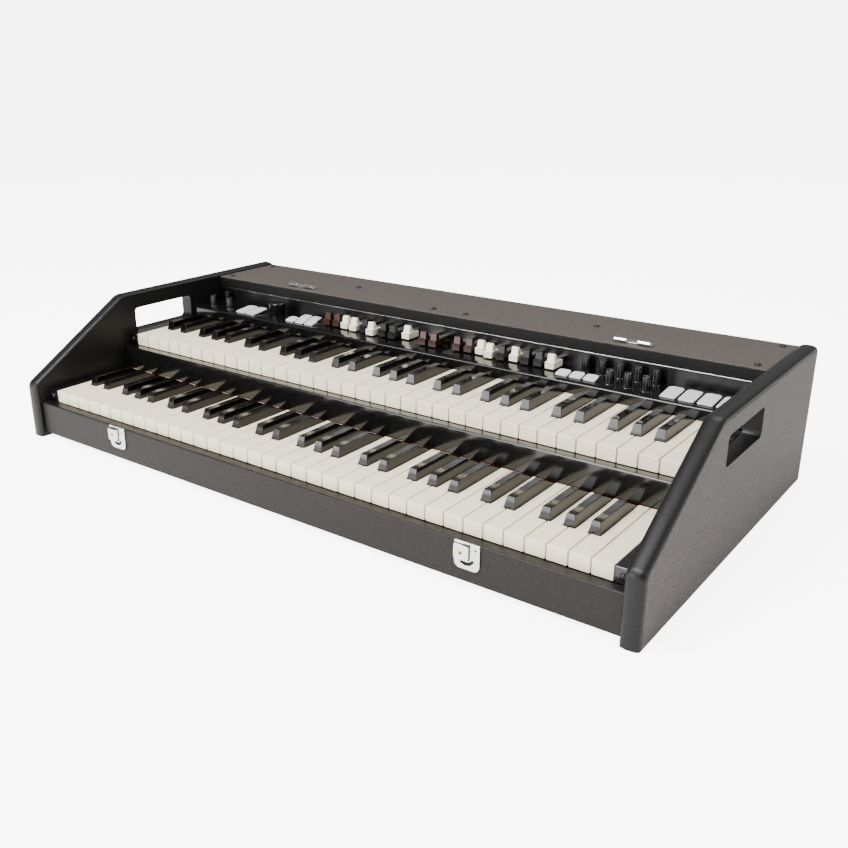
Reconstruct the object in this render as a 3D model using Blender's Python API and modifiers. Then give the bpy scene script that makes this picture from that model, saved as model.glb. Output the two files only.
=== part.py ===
"""Dual-manual drawbar organ: a table-top case, two 61-note manuals and their controls.

Metres, +Z up, +X to the player's right, the player at -Y. The origin is on the surface that
the organ stands on, under the middle of its bounding box.
"""
import math

import bmesh
import bpy
from mathutils import Matrix, Vector

# Clearances
FIT = 0.0003
RUNNING_FIT = 0.0003
KNOB_LIFT = 0.0006

# Case, outside sizes and boards
CASE_DEPTH = 0.488
CASE_HEIGHT = 0.1753
CHEEK_THICKNESS = 0.020
CHEEK_NOSE_HEIGHT = 0.0779
CHEEK_BEND_BACK = 0.1628
CHEEK_NOSE_RADIUS = 0.012
CHEEK_BEND_RADIUS = 0.020
CHEEK_BACK_RADIUS = 0.012
EDGE_CROWN = 0.0045
HAND_HOLE_LENGTH = 0.109
HAND_HOLE_HEIGHT = 0.0345
HAND_HOLE_RADIUS = 0.006
HAND_HOLE_BACK = 0.183
HAND_HOLE_DROP = 0.0237
CLEAT_WIDTH = 0.030
CLEAT_HEIGHT = 0.018
CLEAT_LENGTH = 0.110
BASE_THICKNESS = 0.018
RAIL_THICKNESS = 0.0128
RAIL_DROP = 0.0170
RAIL_EDGE = 0.0012
SHELF_THICKNESS = 0.004
SHELF_FLANGE = 0.020
LID_THICKNESS = 0.0157
LID_DEPTH = 0.125
LID_EDGE = 0.003
REAR_SHEET = 0.002
REAR_INSET = 0.002

# Keys
NATURALS = 36
KEY_PITCH = 0.0235
KEY_GAP = 0.0010
KEY_THICKNESS = 0.012
KEY_EDGE = 0.0025
LIP_HEIGHT = 0.0168
LIP_DEPTH = 0.007
KEY_DIP = 0.010
PIVOT_BACK = 0.200
FIXED_TAIL = 0.012
SHARP_FRONT = 0.046
SHARP_WIDTH = 0.0134
SHARP_TOP_WIDTH = 0.0094
SHARP_HEIGHT = 0.012
SHARP_RAKE = 0.0035
SHARP_EDGE = 0.0016
SHARP_SKIRT = 0.008
SHARP_LEVER_WIDTH = 0.0116
SHARP_FLAT_END = 0.108
SHARP_END = 0.129
SHARP_END_HEIGHT = 0.001
SHARP_SIDE_GAP = 0.0005
SHARP_FRONT_GAP = 0.001

# Where each sharp stands from the line between its two naturals, by the natural below it
SHARP_SHIFT = {"C": -0.0024, "D": 0.0024, "F": -0.0036, "G": 0.0, "A": 0.0036}
NOTES = "CDEFGAB"
MOVING_OCTAVE = 4
FIRST_OCTAVE = 2

# Manuals and their keybeds
NOSE_TO_KEYS = 0.022
KEY_TOP_HEIGHT = 0.0676
MANUAL_SETBACK = 0.1463
MANUAL_RISE = 0.0502
KEY_TO_RAIL = 0.0010
BED_HEIGHT = 0.0433
BED_PLATE = 0.003
BED_FRONT = 0.002
STOP_RAIL_FRONT = 0.018
STOP_RAIL_DEPTH = 0.018
BEARING_RAIL_DEPTH = 0.022
GROOVE_SIDES = 4
END_BLOCK_WIDTH = 0.0174
END_BLOCK_LENGTH = 0.1315
END_BLOCK_EDGE = 0.0015
END_SCREW_RADIUS = 0.0036
END_SCREW_HEIGHT = 0.0014
END_SCREW_DROP = 0.011

# Control panel
KEY_VISIBLE = 0.1297
PANEL_SHEET = 0.0015
PANEL_OVER_KEYS = 0.0015
PANEL_HEIGHT = 0.0146
PANEL_WALL_INSET = 0.0015
PANEL_FLANGE_DEPTH = 0.024
PANEL_FLANGE_END = 0.034
GUIDE_DROP = 0.0155

# Drawbars
DRAWBAR_PITCH = 0.0177
DRAWBAR_WIDTH = 0.0125
DRAWBAR_BASE_DEPTH = 0.024
DRAWBAR_BASE_HEIGHT = 0.0087
DRAWBAR_HEIGHT = 0.0182
DRAWBAR_LIFT = 0.0018
DRAWBAR_REST_GAP = 0.0025
DRAWBAR_TRAVEL = 0.026
FIN_FRONT = 0.0025
FIN_LEAN = 0.0022
FIN_TOP_DEPTH = 0.0042
FIN_BACK = 0.012
STEM_WIDTH = 0.008
STEM_THICKNESS = 0.002
STEM_LENGTH = 0.060
STEM_SINK = 0.0008

# How far each drawbar is pulled out, as the player has left it
UPPER_DRAWN = (0.0052, 0.0053, 0.0073, 0.0097, 0.0070, 0.0149, 0.0090, 0.0110, 0.0008)
PEDAL_DRAWN = (0.0114, 0.0120)
LOWER_DRAWN = (0.0075, 0.0055, 0.0047, 0.0115, 0.0110, 0.0068, 0.0090, 0.0073, 0.0082)
SET_COLOURS = ("brown", "brown", "white", "white", "black", "white", "black", "black", "white")

# Knobs
KNOB_RADIUS = 0.0055
KNOB_HEIGHT = 0.0175
KNOB_TAPER = 0.0006
KNOB_EDGE = 0.0008
SHAFT_RADIUS = 0.003
SHAFT_LENGTH = 0.009
DIAL_RADIUS = 0.013
DIAL_BODY_RADIUS = 0.0105
DIAL_CAP_HEIGHT = 0.006
DIAL_HEIGHT = 0.0185
VOLUME_KNOB_AT = (-0.381, 0.077)
DIAL_AT = (-0.293, 0.093)
FIXED_KNOBS_AT = (
    (-0.418, 0.077), (-0.418, 0.108), (0.224, 0.107), (0.247, 0.107), (0.270, 0.107),
    (0.293, 0.107), (0.316, 0.107), (0.270, 0.077), (0.293, 0.077), (0.316, 0.077),
)

# Rocker tabs
TAB_THICKNESS = 0.0022
TAB_RISE = 0.0028
TAB_CROWN = 0.0006
LARGE_TAB = (0.0186, 0.033)
SMALL_TAB = (0.0162, 0.0155)
TAB_WEB_WIDTH = 0.008
TAB_WEB_DEPTH = 0.004
TAB_WEB_DROP = 0.0055
TAB_PIN_RADIUS = 0.0013
TAB_LUG = 0.002
TAB_HOLE_SLACK = 0.0022
LARGE_TAB_FRONT = 0.065
SMALL_TAB_FRONT = 0.069
SMALL_TAB_BACK_ROW = 0.089
PERCUSSION_TAB_X = 0.347
FIXED_LARGE_TABS_X = (-0.347, -0.3265, 0.369, 0.391, 0.413)
FIXED_SMALL_TABS_X = (-0.2465, -0.2278, -0.2091, 0.209, 0.2277, 0.2464)
FIXED_BACK_TABS_X = (-0.2372, -0.2185)

# Catches for the carrying cover
FRONT_CATCH_X = 0.274
FRONT_CATCH_WIDTH = 0.030
FRONT_CATCH_HEIGHT = 0.030
FRONT_CATCH_RADIUS = 0.006
CATCH_SHEET = 0.0016
CATCH_BOX_WIDTH = 0.017
CATCH_BOX_HEIGHT = 0.016
CATCH_BOX_DEPTH = 0.0045
CATCH_SCREW_RADIUS = 0.0032
CATCH_RIVET_RADIUS = 0.0024
LID_CATCH_X = 0.2735
LID_CATCH_WIDTH = 0.048
LID_CATCH_DEPTH = 0.017
LID_CATCH_INSET = 0.009
LID_CATCH_HOOK_WIDTH = 0.016
LID_CATCH_HOOK_HEIGHT = 0.006

# Sockets, supply and boards inside
SOCKET_HEIGHT = 0.048
JACK_X = -0.28
JACK_COUNT = 4
JACK_PITCH = 0.022
JACK_BORE_RADIUS = 0.0032
JACK_BUSH_RADIUS = 0.0048
JACK_BUSH_REACH = 0.005
JACK_BODY = 0.014
JACK_BODY_DEPTH = 0.024
JACK_NUT_RADIUS = 0.0075
JACK_NUT_THICKNESS = 0.002
BOARD_THICKNESS = 0.0016
JACK_BOARD_DEPTH = 0.045
INLET_X = 0.33
INLET_WIDTH = 0.060
INLET_HEIGHT = 0.031
INLET_BEZEL = 0.002
INLET_BODY_WIDTH = 0.052
INLET_BODY_HEIGHT = 0.0265
INLET_BODY_DEPTH = 0.028
RECESS_X = -0.011
RECESS_WIDTH = 0.0245
RECESS_HEIGHT = 0.0165
RECESS_DEPTH = 0.017
RECESS_CORNER = 0.005
PIN_LENGTH = 0.010
PIN_WIDTH = 0.002
PIN_HEIGHT = 0.004
PIN_PITCH = 0.007
ROCKER_X = 0.0165
ROCKER_WIDTH = 0.012
ROCKER_RADIUS = 0.0092
ROCKER_DEPTH = 0.004
ROCKER_PROUD = 0.0008
ROCKER_TILT = math.radians(8)
ROCKER_GAP = 0.0004
ROCKER_PIN_RADIUS = 0.0012
ROCKER_PIN_REACH = 0.001
SUPPLY_SIZE = (0.105, 0.070, 0.034)
SUPPLY_X = 0.33
SUPPLY_Y = 0.150
MAIN_BOARD_SIZE = (0.300, 0.070)
MAIN_BOARD_X = -0.120
MAIN_BOARD_Y = 0.192
STANDOFF_HEIGHT = 0.008
STANDOFF_RADIUS = 0.003

# Places worked out from the sizes above
FRONT = -CASE_DEPTH / 2
BACK = CASE_DEPTH / 2
LOWER_Y = FRONT + NOSE_TO_KEYS
LOWER_Z = KEY_TOP_HEIGHT
UPPER_Y = LOWER_Y + MANUAL_SETBACK
UPPER_Z = LOWER_Z + MANUAL_RISE
HALF_SPAN = NATURALS * KEY_PITCH / 2
BLOCK_X = HALF_SPAN + FIT + END_BLOCK_WIDTH / 2
BOARD_X = BLOCK_X + END_BLOCK_WIDTH / 2
INNER_X = BOARD_X + FIT
LID_TOP = CASE_HEIGHT - EDGE_CROWN
LID_BOTTOM = LID_TOP - LID_THICKNESS
LID_BACK = BACK - EDGE_CROWN
LID_FRONT = LID_BACK - LID_DEPTH
UNDER_LID = LID_BOTTOM - FIT
BASE_TOP = LOWER_Z - BED_HEIGHT - FIT
BASE_BOTTOM = BASE_TOP - BASE_THICKNESS
REAR_OUTER = LID_BACK - REAR_INSET
REAR_INNER = REAR_OUTER - REAR_SHEET
SHELF_TOP = UPPER_Z - BED_HEIGHT - FIT
SHELF_BOTTOM = SHELF_TOP - SHELF_THICKNESS
BEARING_TOP = SHELF_BOTTOM - FIT - LOWER_Z
RAIL_BACK = LOWER_Y - KEY_TO_RAIL
RAIL_FRONT = RAIL_BACK - RAIL_THICKNESS
FALLBOARD_BACK = UPPER_Y - KEY_TO_RAIL
PANEL_FRONT = UPPER_Y + KEY_VISIBLE
PANEL_TOP = UPPER_Z + PANEL_HEIGHT
PANEL_WALL = LID_FRONT + PANEL_WALL_INSET
PANEL_UNDERSIDE = PANEL_TOP - PANEL_SHEET
KNOB_Z = PANEL_TOP + KNOB_LIFT
DRAWBAR_IN = PANEL_WALL - DRAWBAR_REST_GAP - DRAWBAR_BASE_DEPTH
DRAWBAR_Z = PANEL_TOP + DRAWBAR_LIFT
STEM_LOW = DRAWBAR_BASE_HEIGHT - STEM_SINK
TAIL_RADIUS = KEY_THICKNESS / 2
DIP_ANGLE = math.asin(KEY_DIP / PIVOT_BACK)
STOP_HEIGHT = KEY_THICKNESS + (PIVOT_BACK - STOP_RAIL_FRONT) * math.sin(DIP_ANGLE) + FIT


def clear_scene():
    """Empties the scene that the script starts in."""
    for item in list(bpy.data.objects):
        bpy.data.objects.remove(item, do_unlink=True)
    for group in list(bpy.data.collections):
        bpy.data.collections.remove(group)


def new_collection(name):
    """A collection linked to the scene."""
    group = bpy.data.collections.new(name)
    bpy.context.scene.collection.children.link(group)
    return group


clear_scene()
ORGAN = new_collection("dual_manual_organ")
CUTTERS = new_collection("cutters")


def material(name, colour, roughness, metallic=0.0):
    """A Principled material in one plain colour."""
    made = bpy.data.materials.new(name)
    made.use_nodes = True
    shader = made.node_tree.nodes["Principled BSDF"]
    shader.inputs["Base Color"].default_value = (*colour, 1)
    shader.inputs["Roughness"].default_value = roughness
    shader.inputs["Metallic"].default_value = metallic
    made.diffuse_color = (*colour, 1)
    return made


PAINT = material("textured_paint", (0.13, 0.12, 0.115), 0.62)
RAIL_PAINT = material("rail_paint", (0.055, 0.05, 0.047), 0.45)
GLOSS_BLACK = material("gloss_black", (0.012, 0.012, 0.013), 0.18)
IVORY = material("natural_key", (0.86, 0.83, 0.75), 0.30)
EBONY = material("sharp_key", (0.012, 0.012, 0.012), 0.15)
BLACK_PLASTIC = material("black_plastic", (0.02, 0.02, 0.021), 0.40)
BROWN_PLASTIC = material("brown_cap", (0.085, 0.028, 0.018), 0.30)
WHITE_PLASTIC = material("white_cap", (0.88, 0.86, 0.80), 0.30)
CHROME = material("chrome", (0.78, 0.78, 0.79), 0.12, 1.0)
STEEL = material("zinc_steel", (0.50, 0.51, 0.52), 0.38, 1.0)
BOARD_GREEN = material("circuit_board", (0.02, 0.14, 0.07), 0.50)
BOARD_WOOD = material("case_board", (0.10, 0.075, 0.055), 0.70)
CAPS = {"brown": BROWN_PLASTIC, "white": WHITE_PLASTIC, "black": BLACK_PLASTIC}

# How an outline drawn flat is stood up: its first axis, its second axis and its thickness
PLANES = {
    "XY": Matrix.Identity(4),
    "YZ": Matrix(((0, 0, 1, 0), (1, 0, 0, 0), (0, 1, 0, 0), (0, 0, 0, 1))),
    "XZ": Matrix(((1, 0, 0, 0), (0, 0, -1, 0), (0, 1, 0, 0), (0, 0, 0, 1))),
}
WELD = 0.000001


def evaluated_mesh(item):
    """The mesh of an object with its modifiers or curve settings worked out."""
    bpy.context.view_layer.update()
    seen = item.evaluated_get(bpy.context.evaluated_depsgraph_get())
    return bpy.data.meshes.new_from_object(seen)


def baked(item):
    """Turns an object into a plain mesh, and takes the object away with its guides."""
    mesh = evaluated_mesh(item)
    for child in list(item.children):
        bpy.data.objects.remove(child)
    bpy.data.objects.remove(item)
    return mesh


def extruded(outlines, thickness, plane, at=(0, 0, 0)):
    """A flat outline, its holes listed after it, with a thickness centred on a point."""
    curve = bpy.data.curves.new("outline", "CURVE")
    curve.dimensions = "2D"
    curve.fill_mode = "BOTH"
    curve.extrude = thickness / 2
    for outline in outlines:
        spline = curve.splines.new("POLY")
        spline.points.add(len(outline) - 1)
        spline.use_cyclic_u = True
        for point, place in zip(spline.points, outline):
            point.co = (place[0], place[1], 0, 1)
    item = bpy.data.objects.new("outline", curve)
    CUTTERS.objects.link(item)
    mesh = baked(item)
    shape = bmesh.new()
    shape.from_mesh(mesh)
    bmesh.ops.remove_doubles(shape, verts=shape.verts, dist=WELD)
    bmesh.ops.recalc_face_normals(shape, faces=shape.faces)
    shape.to_mesh(mesh)
    shape.free()
    mesh.transform(Matrix.Translation(at) @ PLANES[plane])
    return mesh


def block(low, high):
    """A box between two opposite corners."""
    low = Vector(low)
    high = Vector(high)
    mesh = bpy.data.meshes.new("block")
    shape = bmesh.new()
    bmesh.ops.create_cube(shape, size=1)
    place = Matrix.Translation((low + high) / 2)
    bmesh.ops.transform(shape, matrix=place @ Matrix.Diagonal((*(high - low), 1)), verts=shape.verts)
    shape.to_mesh(mesh)
    shape.free()
    return mesh


def rod(radius, low, high, axis, sides=12):
    """A cylinder along X, Y or Z between two points on its axis."""
    low = Vector(low)
    high = Vector(high)
    turn = {"X": Matrix.Rotation(math.pi / 2, 4, "Y"), "Y": Matrix.Rotation(math.pi / 2, 4, "X"),
            "Z": Matrix.Identity(4)}[axis]
    mesh = bpy.data.meshes.new("rod")
    shape = bmesh.new()
    bmesh.ops.create_cone(
        shape, cap_ends=True, segments=sides, radius1=radius, radius2=radius,
        depth=(high - low).length, matrix=Matrix.Translation((low + high) / 2) @ turn,
    )
    shape.to_mesh(mesh)
    shape.free()
    return mesh


def turned(profile, steps):
    """A body turned about Z from a profile that runs down its outer side."""
    mesh = bpy.data.meshes.new("turned")
    mesh.from_pydata([(radius, 0, height) for radius, height in profile],
                     [(i, i + 1) for i in range(len(profile) - 1)], [])
    item = bpy.data.objects.new("turned", mesh)
    CUTTERS.objects.link(item)
    screw = item.modifiers.new("turn", "SCREW")
    screw.steps = steps
    screw.render_steps = steps
    screw.use_merge_vertices = True
    screw.merge_threshold = 0.00001
    return baked(item)


def arc(centre, radius, start, stop, steps):
    """Points along an arc, angles in degrees, both ends included."""
    angles = [math.radians(start + (stop - start) * i / steps) for i in range(steps + 1)]
    return [(centre[0] + radius * math.cos(a), centre[1] + radius * math.sin(a)) for a in angles]


def rounded(corners, steps=4):
    """An outline whose corners, each given as (u, v, radius), are rounded by arcs."""
    outline = []
    for i, (u, v, radius) in enumerate(corners):
        here = Vector((u, v))
        before = (Vector(corners[i - 1][:2]) - here).normalized()
        after = (Vector(corners[(i + 1) % len(corners)][:2]) - here).normalized()
        if radius == 0:
            outline.append((u, v))
            continue
        half = before.angle(after) / 2
        centre = here + (before + after).normalized() * radius / math.sin(half)
        first = here + before * radius / math.tan(half) - centre
        last = here + after * radius / math.tan(half) - centre
        start = math.atan2(first.y, first.x)
        sweep = math.remainder(math.atan2(last.y, last.x) - start, math.tau)
        outline += arc(centre, radius, math.degrees(start), math.degrees(start + sweep), steps)
    return outline


def rectangle(low, high, radius=0.0):
    """A rectangle's outline between two corners, rounded where a radius is given."""
    return rounded([(low[0], low[1], radius), (high[0], low[1], radius),
                    (high[0], high[1], radius), (low[0], high[1], radius)])


def painted(mesh, paint):
    """Gives a mesh its one material."""
    mesh.materials.clear()
    mesh.materials.append(paint)
    return mesh


def merged(parts):
    """One mesh that holds several, each moved to its place, with their materials."""
    mesh = bpy.data.meshes.new("merged")
    shape = bmesh.new()
    for part, place in parts:
        copy = part.copy()
        copy.transform(Matrix.Translation(place))
        first = len(shape.faces)
        shape.from_mesh(copy)
        shape.faces.ensure_lookup_table()
        for slot in part.materials:
            if slot.name not in mesh.materials:
                mesh.materials.append(slot)
        for face in shape.faces[first:]:
            if len(part.materials):
                face.material_index = mesh.materials.find(part.materials[face.material_index].name)
        bpy.data.meshes.remove(copy)
    shape.to_mesh(mesh)
    shape.free()
    return mesh


def combine(target, operation, mesh, overlapping=False):
    """Joins a guide body to a target or cuts it out, in the target's own frame."""
    guide = bpy.data.objects.new(f"{target.name}_{operation.lower()}", mesh)
    CUTTERS.objects.link(guide)
    guide.parent = target
    guide.hide_render = True
    guide.display_type = "WIRE"
    modifier = target.modifiers.new(guide.name, "BOOLEAN")
    modifier.operation = operation
    modifier.solver = "EXACT"
    modifier.material_mode = "TRANSFER"
    modifier.use_self = overlapping
    modifier.object = guide


def joined(first, *others):
    """One closed mesh from several that overlap, each keeping its material."""
    item = bpy.data.objects.new("joined", first)
    CUTTERS.objects.link(item)
    for other in others:
        combine(item, "UNION", other)
    return baked(item)


def cut(mesh, *cutters):
    """A mesh with others taken out of it."""
    item = bpy.data.objects.new("cut", mesh)
    CUTTERS.objects.link(item)
    for cutter in cutters:
        combine(item, "DIFFERENCE", cutter)
    return baked(item)


def piece(name, mesh, paint, location=(0, 0, 0), parent=None, smooth=False):
    """One named part of the organ."""
    if len(mesh.materials) == 0:
        mesh.materials.append(paint)
    if smooth:
        mesh.shade_smooth()
        mesh.set_sharp_from_angle(angle=math.radians(35))
    item = bpy.data.objects.new(name, mesh)
    ORGAN.objects.link(item)
    item.location = location
    item.parent = parent
    return item


def bevelled(mesh, width, segments, chosen):
    """Rounds the edges that a test on their two ends picks."""
    weights = mesh.attributes.new("bevel_weight_edge", "FLOAT", "EDGE")
    for edge in mesh.edges:
        ends = [mesh.vertices[i].co for i in edge.vertices]
        weights.data[edge.index].value = 1.0 if chosen(*ends) else 0.0
    item = bpy.data.objects.new("bevelled", mesh)
    CUTTERS.objects.link(item)
    bevel = item.modifiers.new("edge", "BEVEL")
    bevel.width = width
    bevel.segments = segments
    bevel.limit_method = "WEIGHT"
    bevel.use_clamp_overlap = True
    return baked(item)


# Case

def cheek(name, side):
    """An end board with a moulded edge, a hand hole and the cleat that the lid is screwed to."""
    outline = rounded([
        (FRONT, 0, 0), (BACK, 0, 0), (BACK, CASE_HEIGHT, CHEEK_BACK_RADIUS),
        (FRONT + CHEEK_BEND_BACK, CASE_HEIGHT, CHEEK_BEND_RADIUS),
        (FRONT, CHEEK_NOSE_HEIGHT, CHEEK_NOSE_RADIUS),
    ], steps=3)
    board = extruded([outline], CHEEK_THICKNESS, "YZ")
    board = bevelled(board, EDGE_CROWN, 2, lambda a, b: abs(a.x - b.x) < WELD and max(a.z, b.z) > WELD)
    hole_front = FRONT + HAND_HOLE_BACK
    hole_top = CASE_HEIGHT - HAND_HOLE_DROP
    hole = rectangle((hole_front, hole_top - HAND_HOLE_HEIGHT),
                     (hole_front + HAND_HOLE_LENGTH, hole_top), HAND_HOLE_RADIUS)
    board = cut(board, extruded([hole], CHEEK_THICKNESS * 2, "YZ"))
    item = piece(name, board, PAINT, location=(side * (INNER_X + CHEEK_THICKNESS / 2), 0, 0))
    reach = CHEEK_THICKNESS / 2
    cleat_back = REAR_INNER - FIT
    inner, outer = sorted((-side * (reach + CLEAT_WIDTH), -side * (reach - WELD * 500)))
    combine(item, "UNION", block((inner, cleat_back - CLEAT_LENGTH, UNDER_LID - CLEAT_HEIGHT),
                                 (outer, cleat_back, UNDER_LID)))
    return item


def make_case():
    """The cheeks, boards and sheets that hold everything else."""
    cheek("left_cheek", -1)
    cheek("right_cheek", 1)
    piece("base_board", block((-BOARD_X, RAIL_BACK + FIT, BASE_BOTTOM),
                              (BOARD_X, REAR_INNER - FIT, BASE_TOP)), BOARD_WOOD)
    rail_top = LOWER_Z - RAIL_DROP
    piece("front_rail", board_with_edge(RAIL_FRONT, RAIL_BACK, BASE_BOTTOM, rail_top), RAIL_PAINT)
    fallboard_front = FALLBOARD_BACK - RAIL_THICKNESS
    fallboard_low = LOWER_Z + PANEL_OVER_KEYS
    piece("lower_fallboard",
          board_with_edge(fallboard_front, FALLBOARD_BACK, fallboard_low, UPPER_Z - RAIL_DROP),
          GLOSS_BLACK)
    shelf()
    lid = rounded([(LID_FRONT, LID_BOTTOM, 0), (LID_BACK, LID_BOTTOM, 0), (LID_BACK, LID_TOP, 0),
                   (LID_FRONT, LID_TOP, LID_EDGE)])
    piece("top_lid", extruded([lid], 2 * BOARD_X, "YZ"), PAINT, smooth=True)
    rear_panel()


def board_with_edge(front, back, low, high):
    """A board across the case with its upper edges eased."""
    outline = rounded([(front, low, 0), (back, low, 0), (back, high, RAIL_EDGE),
                       (front, high, RAIL_EDGE)], steps=2)
    return extruded([outline], 2 * BOARD_X, "YZ")


def shelf():
    """The sheet that carries the upper keybed, turned up at both ends to fix to the cheeks."""
    front = FALLBOARD_BACK + FIT
    back = REAR_INNER - FIT
    item = piece("manual_shelf", block((-BOARD_X, front, SHELF_BOTTOM), (BOARD_X, back, SHELF_TOP)), STEEL)
    flange_front = UPPER_Y + END_BLOCK_LENGTH + FIT
    for side in (-1, 1):
        inner, outer = sorted((side * (BOARD_X - SHELF_THICKNESS), side * BOARD_X))
        combine(item, "UNION", block((inner, flange_front, SHELF_BOTTOM),
                                     (outer, back, SHELF_TOP + SHELF_FLANGE)))


def rear_panel():
    """The steel back, pierced for the sockets and the mains inlet."""
    outlines = [rectangle((-BOARD_X, BASE_BOTTOM), (BOARD_X, UNDER_LID))]
    for x in jack_places():
        outlines.append(arc((x, SOCKET_HEIGHT), JACK_BUSH_RADIUS + RUNNING_FIT, 0, 337.5, 15))
    half_width = INLET_BODY_WIDTH / 2 + FIT
    half_height = INLET_BODY_HEIGHT / 2 + FIT
    outlines.append(rectangle((INLET_X - half_width, SOCKET_HEIGHT - half_height),
                              (INLET_X + half_width, SOCKET_HEIGHT + half_height)))
    middle = (REAR_OUTER + REAR_INNER) / 2
    piece("rear_panel", extruded(outlines, REAR_SHEET, "XZ"), RAIL_PAINT, location=(0, middle, 0))


def jack_places():
    """The X of each jack socket."""
    return [JACK_X + (i - (JACK_COUNT - 1) / 2) * JACK_PITCH for i in range(JACK_COUNT)]


# Keys, drawn with the front of the manual at Y = 0 and the tops of the naturals at Z = 0

def tail(moving):
    """The back end of a key's side view: round where it turns in its bearing, else straight."""
    if moving:
        return arc((PIVOT_BACK, -TAIL_RADIUS), TAIL_RADIUS, -90, 90, 8)
    return [(PIVOT_BACK + FIXED_TAIL, -KEY_THICKNESS), (PIVOT_BACK + FIXED_TAIL, 0)]


def natural_blank(moving):
    """A natural key before the room for its sharps is cut from it."""
    profile = [(0, -LIP_HEIGHT), (LIP_DEPTH, -LIP_HEIGHT), (LIP_DEPTH, -KEY_THICKNESS)]
    profile += tail(moving)
    profile += arc((KEY_EDGE, -KEY_EDGE), KEY_EDGE, 90, 180, 3 if moving else 1)
    return painted(extruded([profile], KEY_PITCH - KEY_GAP, "YZ"), IVORY)


def sharp_key(moving):
    """A sharp: a raked and tapered cap, over a narrower lever on the keys that move."""
    cap = [
        (SHARP_FRONT, -SHARP_SKIRT), (SHARP_END, -SHARP_SKIRT), (SHARP_END, 0), (SHARP_END, SHARP_END_HEIGHT),
        (SHARP_FLAT_END, SHARP_HEIGHT), (SHARP_FRONT + SHARP_RAKE + SHARP_EDGE, SHARP_HEIGHT),
        (SHARP_FRONT + SHARP_RAKE - SHARP_EDGE / 4, SHARP_HEIGHT - SHARP_EDGE), (SHARP_FRONT, 0),
    ]
    if not moving:
        cap[0:3] = [(SHARP_FRONT, -KEY_THICKNESS)] + tail(moving) + [(SHARP_END, 0)]
    cap = extruded([cap], SHARP_WIDTH, "YZ")
    draw = (SHARP_WIDTH - SHARP_TOP_WIDTH) / 2 / SHARP_HEIGHT
    for vertex in cap.vertices:
        vertex.co.x -= math.copysign(max(vertex.co.z, 0) * draw, vertex.co.x)
    if not moving:
        return painted(cap, EBONY)
    lever = [(SHARP_FRONT + SHARP_RAKE, -KEY_THICKNESS)] + tail(moving) + [(SHARP_FRONT + SHARP_RAKE, 0)]
    lever = painted(extruded([lever], SHARP_LEVER_WIDTH, "YZ"), EBONY)
    return joined(lever, painted(cap, EBONY))


def sharp_slot(x):
    """The room that a sharp takes out of the naturals beside it."""
    half = SHARP_WIDTH / 2 + SHARP_SIDE_GAP
    return block((x - half, SHARP_FRONT - SHARP_FRONT_GAP, -LIP_HEIGHT),
                 (x + half, PIVOT_BACK + FIXED_TAIL * 2, SHARP_HEIGHT))


def natural_x(index):
    """The middle of a natural, counted from the left."""
    return (index - (NATURALS - 1) / 2) * KEY_PITCH


def sharp_x(index):
    """The middle of the sharp to the right of a natural, or None where there is none."""
    note = NOTES[index % len(NOTES)]
    if note not in SHARP_SHIFT or index >= NATURALS - 1:
        return None
    return natural_x(index) + KEY_PITCH / 2 + SHARP_SHIFT[note]


def octave(index):
    """The octave number that a natural belongs to."""
    return FIRST_OCTAVE + index // len(NOTES)


def natural_key(index, moving):
    """A natural, centred on X = 0, with the room for the sharps on either side."""
    slots = []
    for neighbour in (index - 1, index):
        x = sharp_x(neighbour) if neighbour >= 0 else None
        if x is not None:
            slots.append(sharp_slot(x - natural_x(index)))
    return cut(natural_blank(moving), *slots)


def bed_profile():
    """The keybed's side view: base plate, stop rail under the keys, bearing rail behind them."""
    top_of_plate = -BED_HEIGHT + BED_PLATE
    groove_radius = (TAIL_RADIUS + RUNNING_FIT) / math.cos(math.pi / 2 / GROOVE_SIDES)
    groove = arc((PIVOT_BACK, -TAIL_RADIUS), groove_radius, 90, -90, GROOVE_SIDES)
    bearing_back = PIVOT_BACK + BEARING_RAIL_DEPTH
    return [
        (BED_FRONT, -BED_HEIGHT), (bearing_back, -BED_HEIGHT), (bearing_back, BEARING_TOP),
        (PIVOT_BACK, BEARING_TOP), *groove, (PIVOT_BACK, top_of_plate),
        (STOP_RAIL_FRONT + STOP_RAIL_DEPTH, top_of_plate),
        (STOP_RAIL_FRONT + STOP_RAIL_DEPTH, -STOP_HEIGHT), (STOP_RAIL_FRONT, -STOP_HEIGHT),
        (STOP_RAIL_FRONT, top_of_plate), (BED_FRONT, top_of_plate),
    ]


def fixed_keys():
    """The naturals and sharps outside the octave that moves."""
    naturals = [i for i in range(NATURALS) if octave(i) != MOVING_OCTAVE]
    shapes = {i % len(NOTES): natural_key(i, False) for i in naturals if 0 < i < NATURALS - 1}
    shapes["first"] = natural_key(0, False)
    shapes["last"] = natural_key(NATURALS - 1, False)
    parts = []
    for i in naturals:
        kind = {0: "first", NATURALS - 1: "last"}.get(i, i % len(NOTES))
        parts.append((shapes[kind], (natural_x(i), 0, 0)))
    sharp = sharp_key(False)
    parts += [(sharp, (sharp_x(i), 0, 0)) for i in naturals if sharp_x(i) is not None]
    return merged(parts)


def make_manual(level, y, z, moving_shapes, fixed):
    """One manual: its keybed with the fixed keys, an octave that plays, and two end blocks."""
    manual = bpy.data.objects.new(f"{level}_manual", None)
    ORGAN.objects.link(manual)
    manual.location = (0, y, z)
    bed = piece(f"{level}_keybed", extruded([bed_profile()], 2 * HALF_SPAN, "YZ"), STEEL, parent=manual)
    combine(bed, "UNION", fixed)
    pivot = Vector((0, PIVOT_BACK, -TAIL_RADIUS))
    for name, (mesh, x, paint) in moving_shapes.items():
        piece(f"{level}_key_{name}", mesh, paint, location=pivot + Vector((x, 0, 0)), parent=manual,
              smooth=True)
    for side, word in ((-1, "left"), (1, "right")):
        end_block(f"{level}_end_block_{word}", side, manual)


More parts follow.
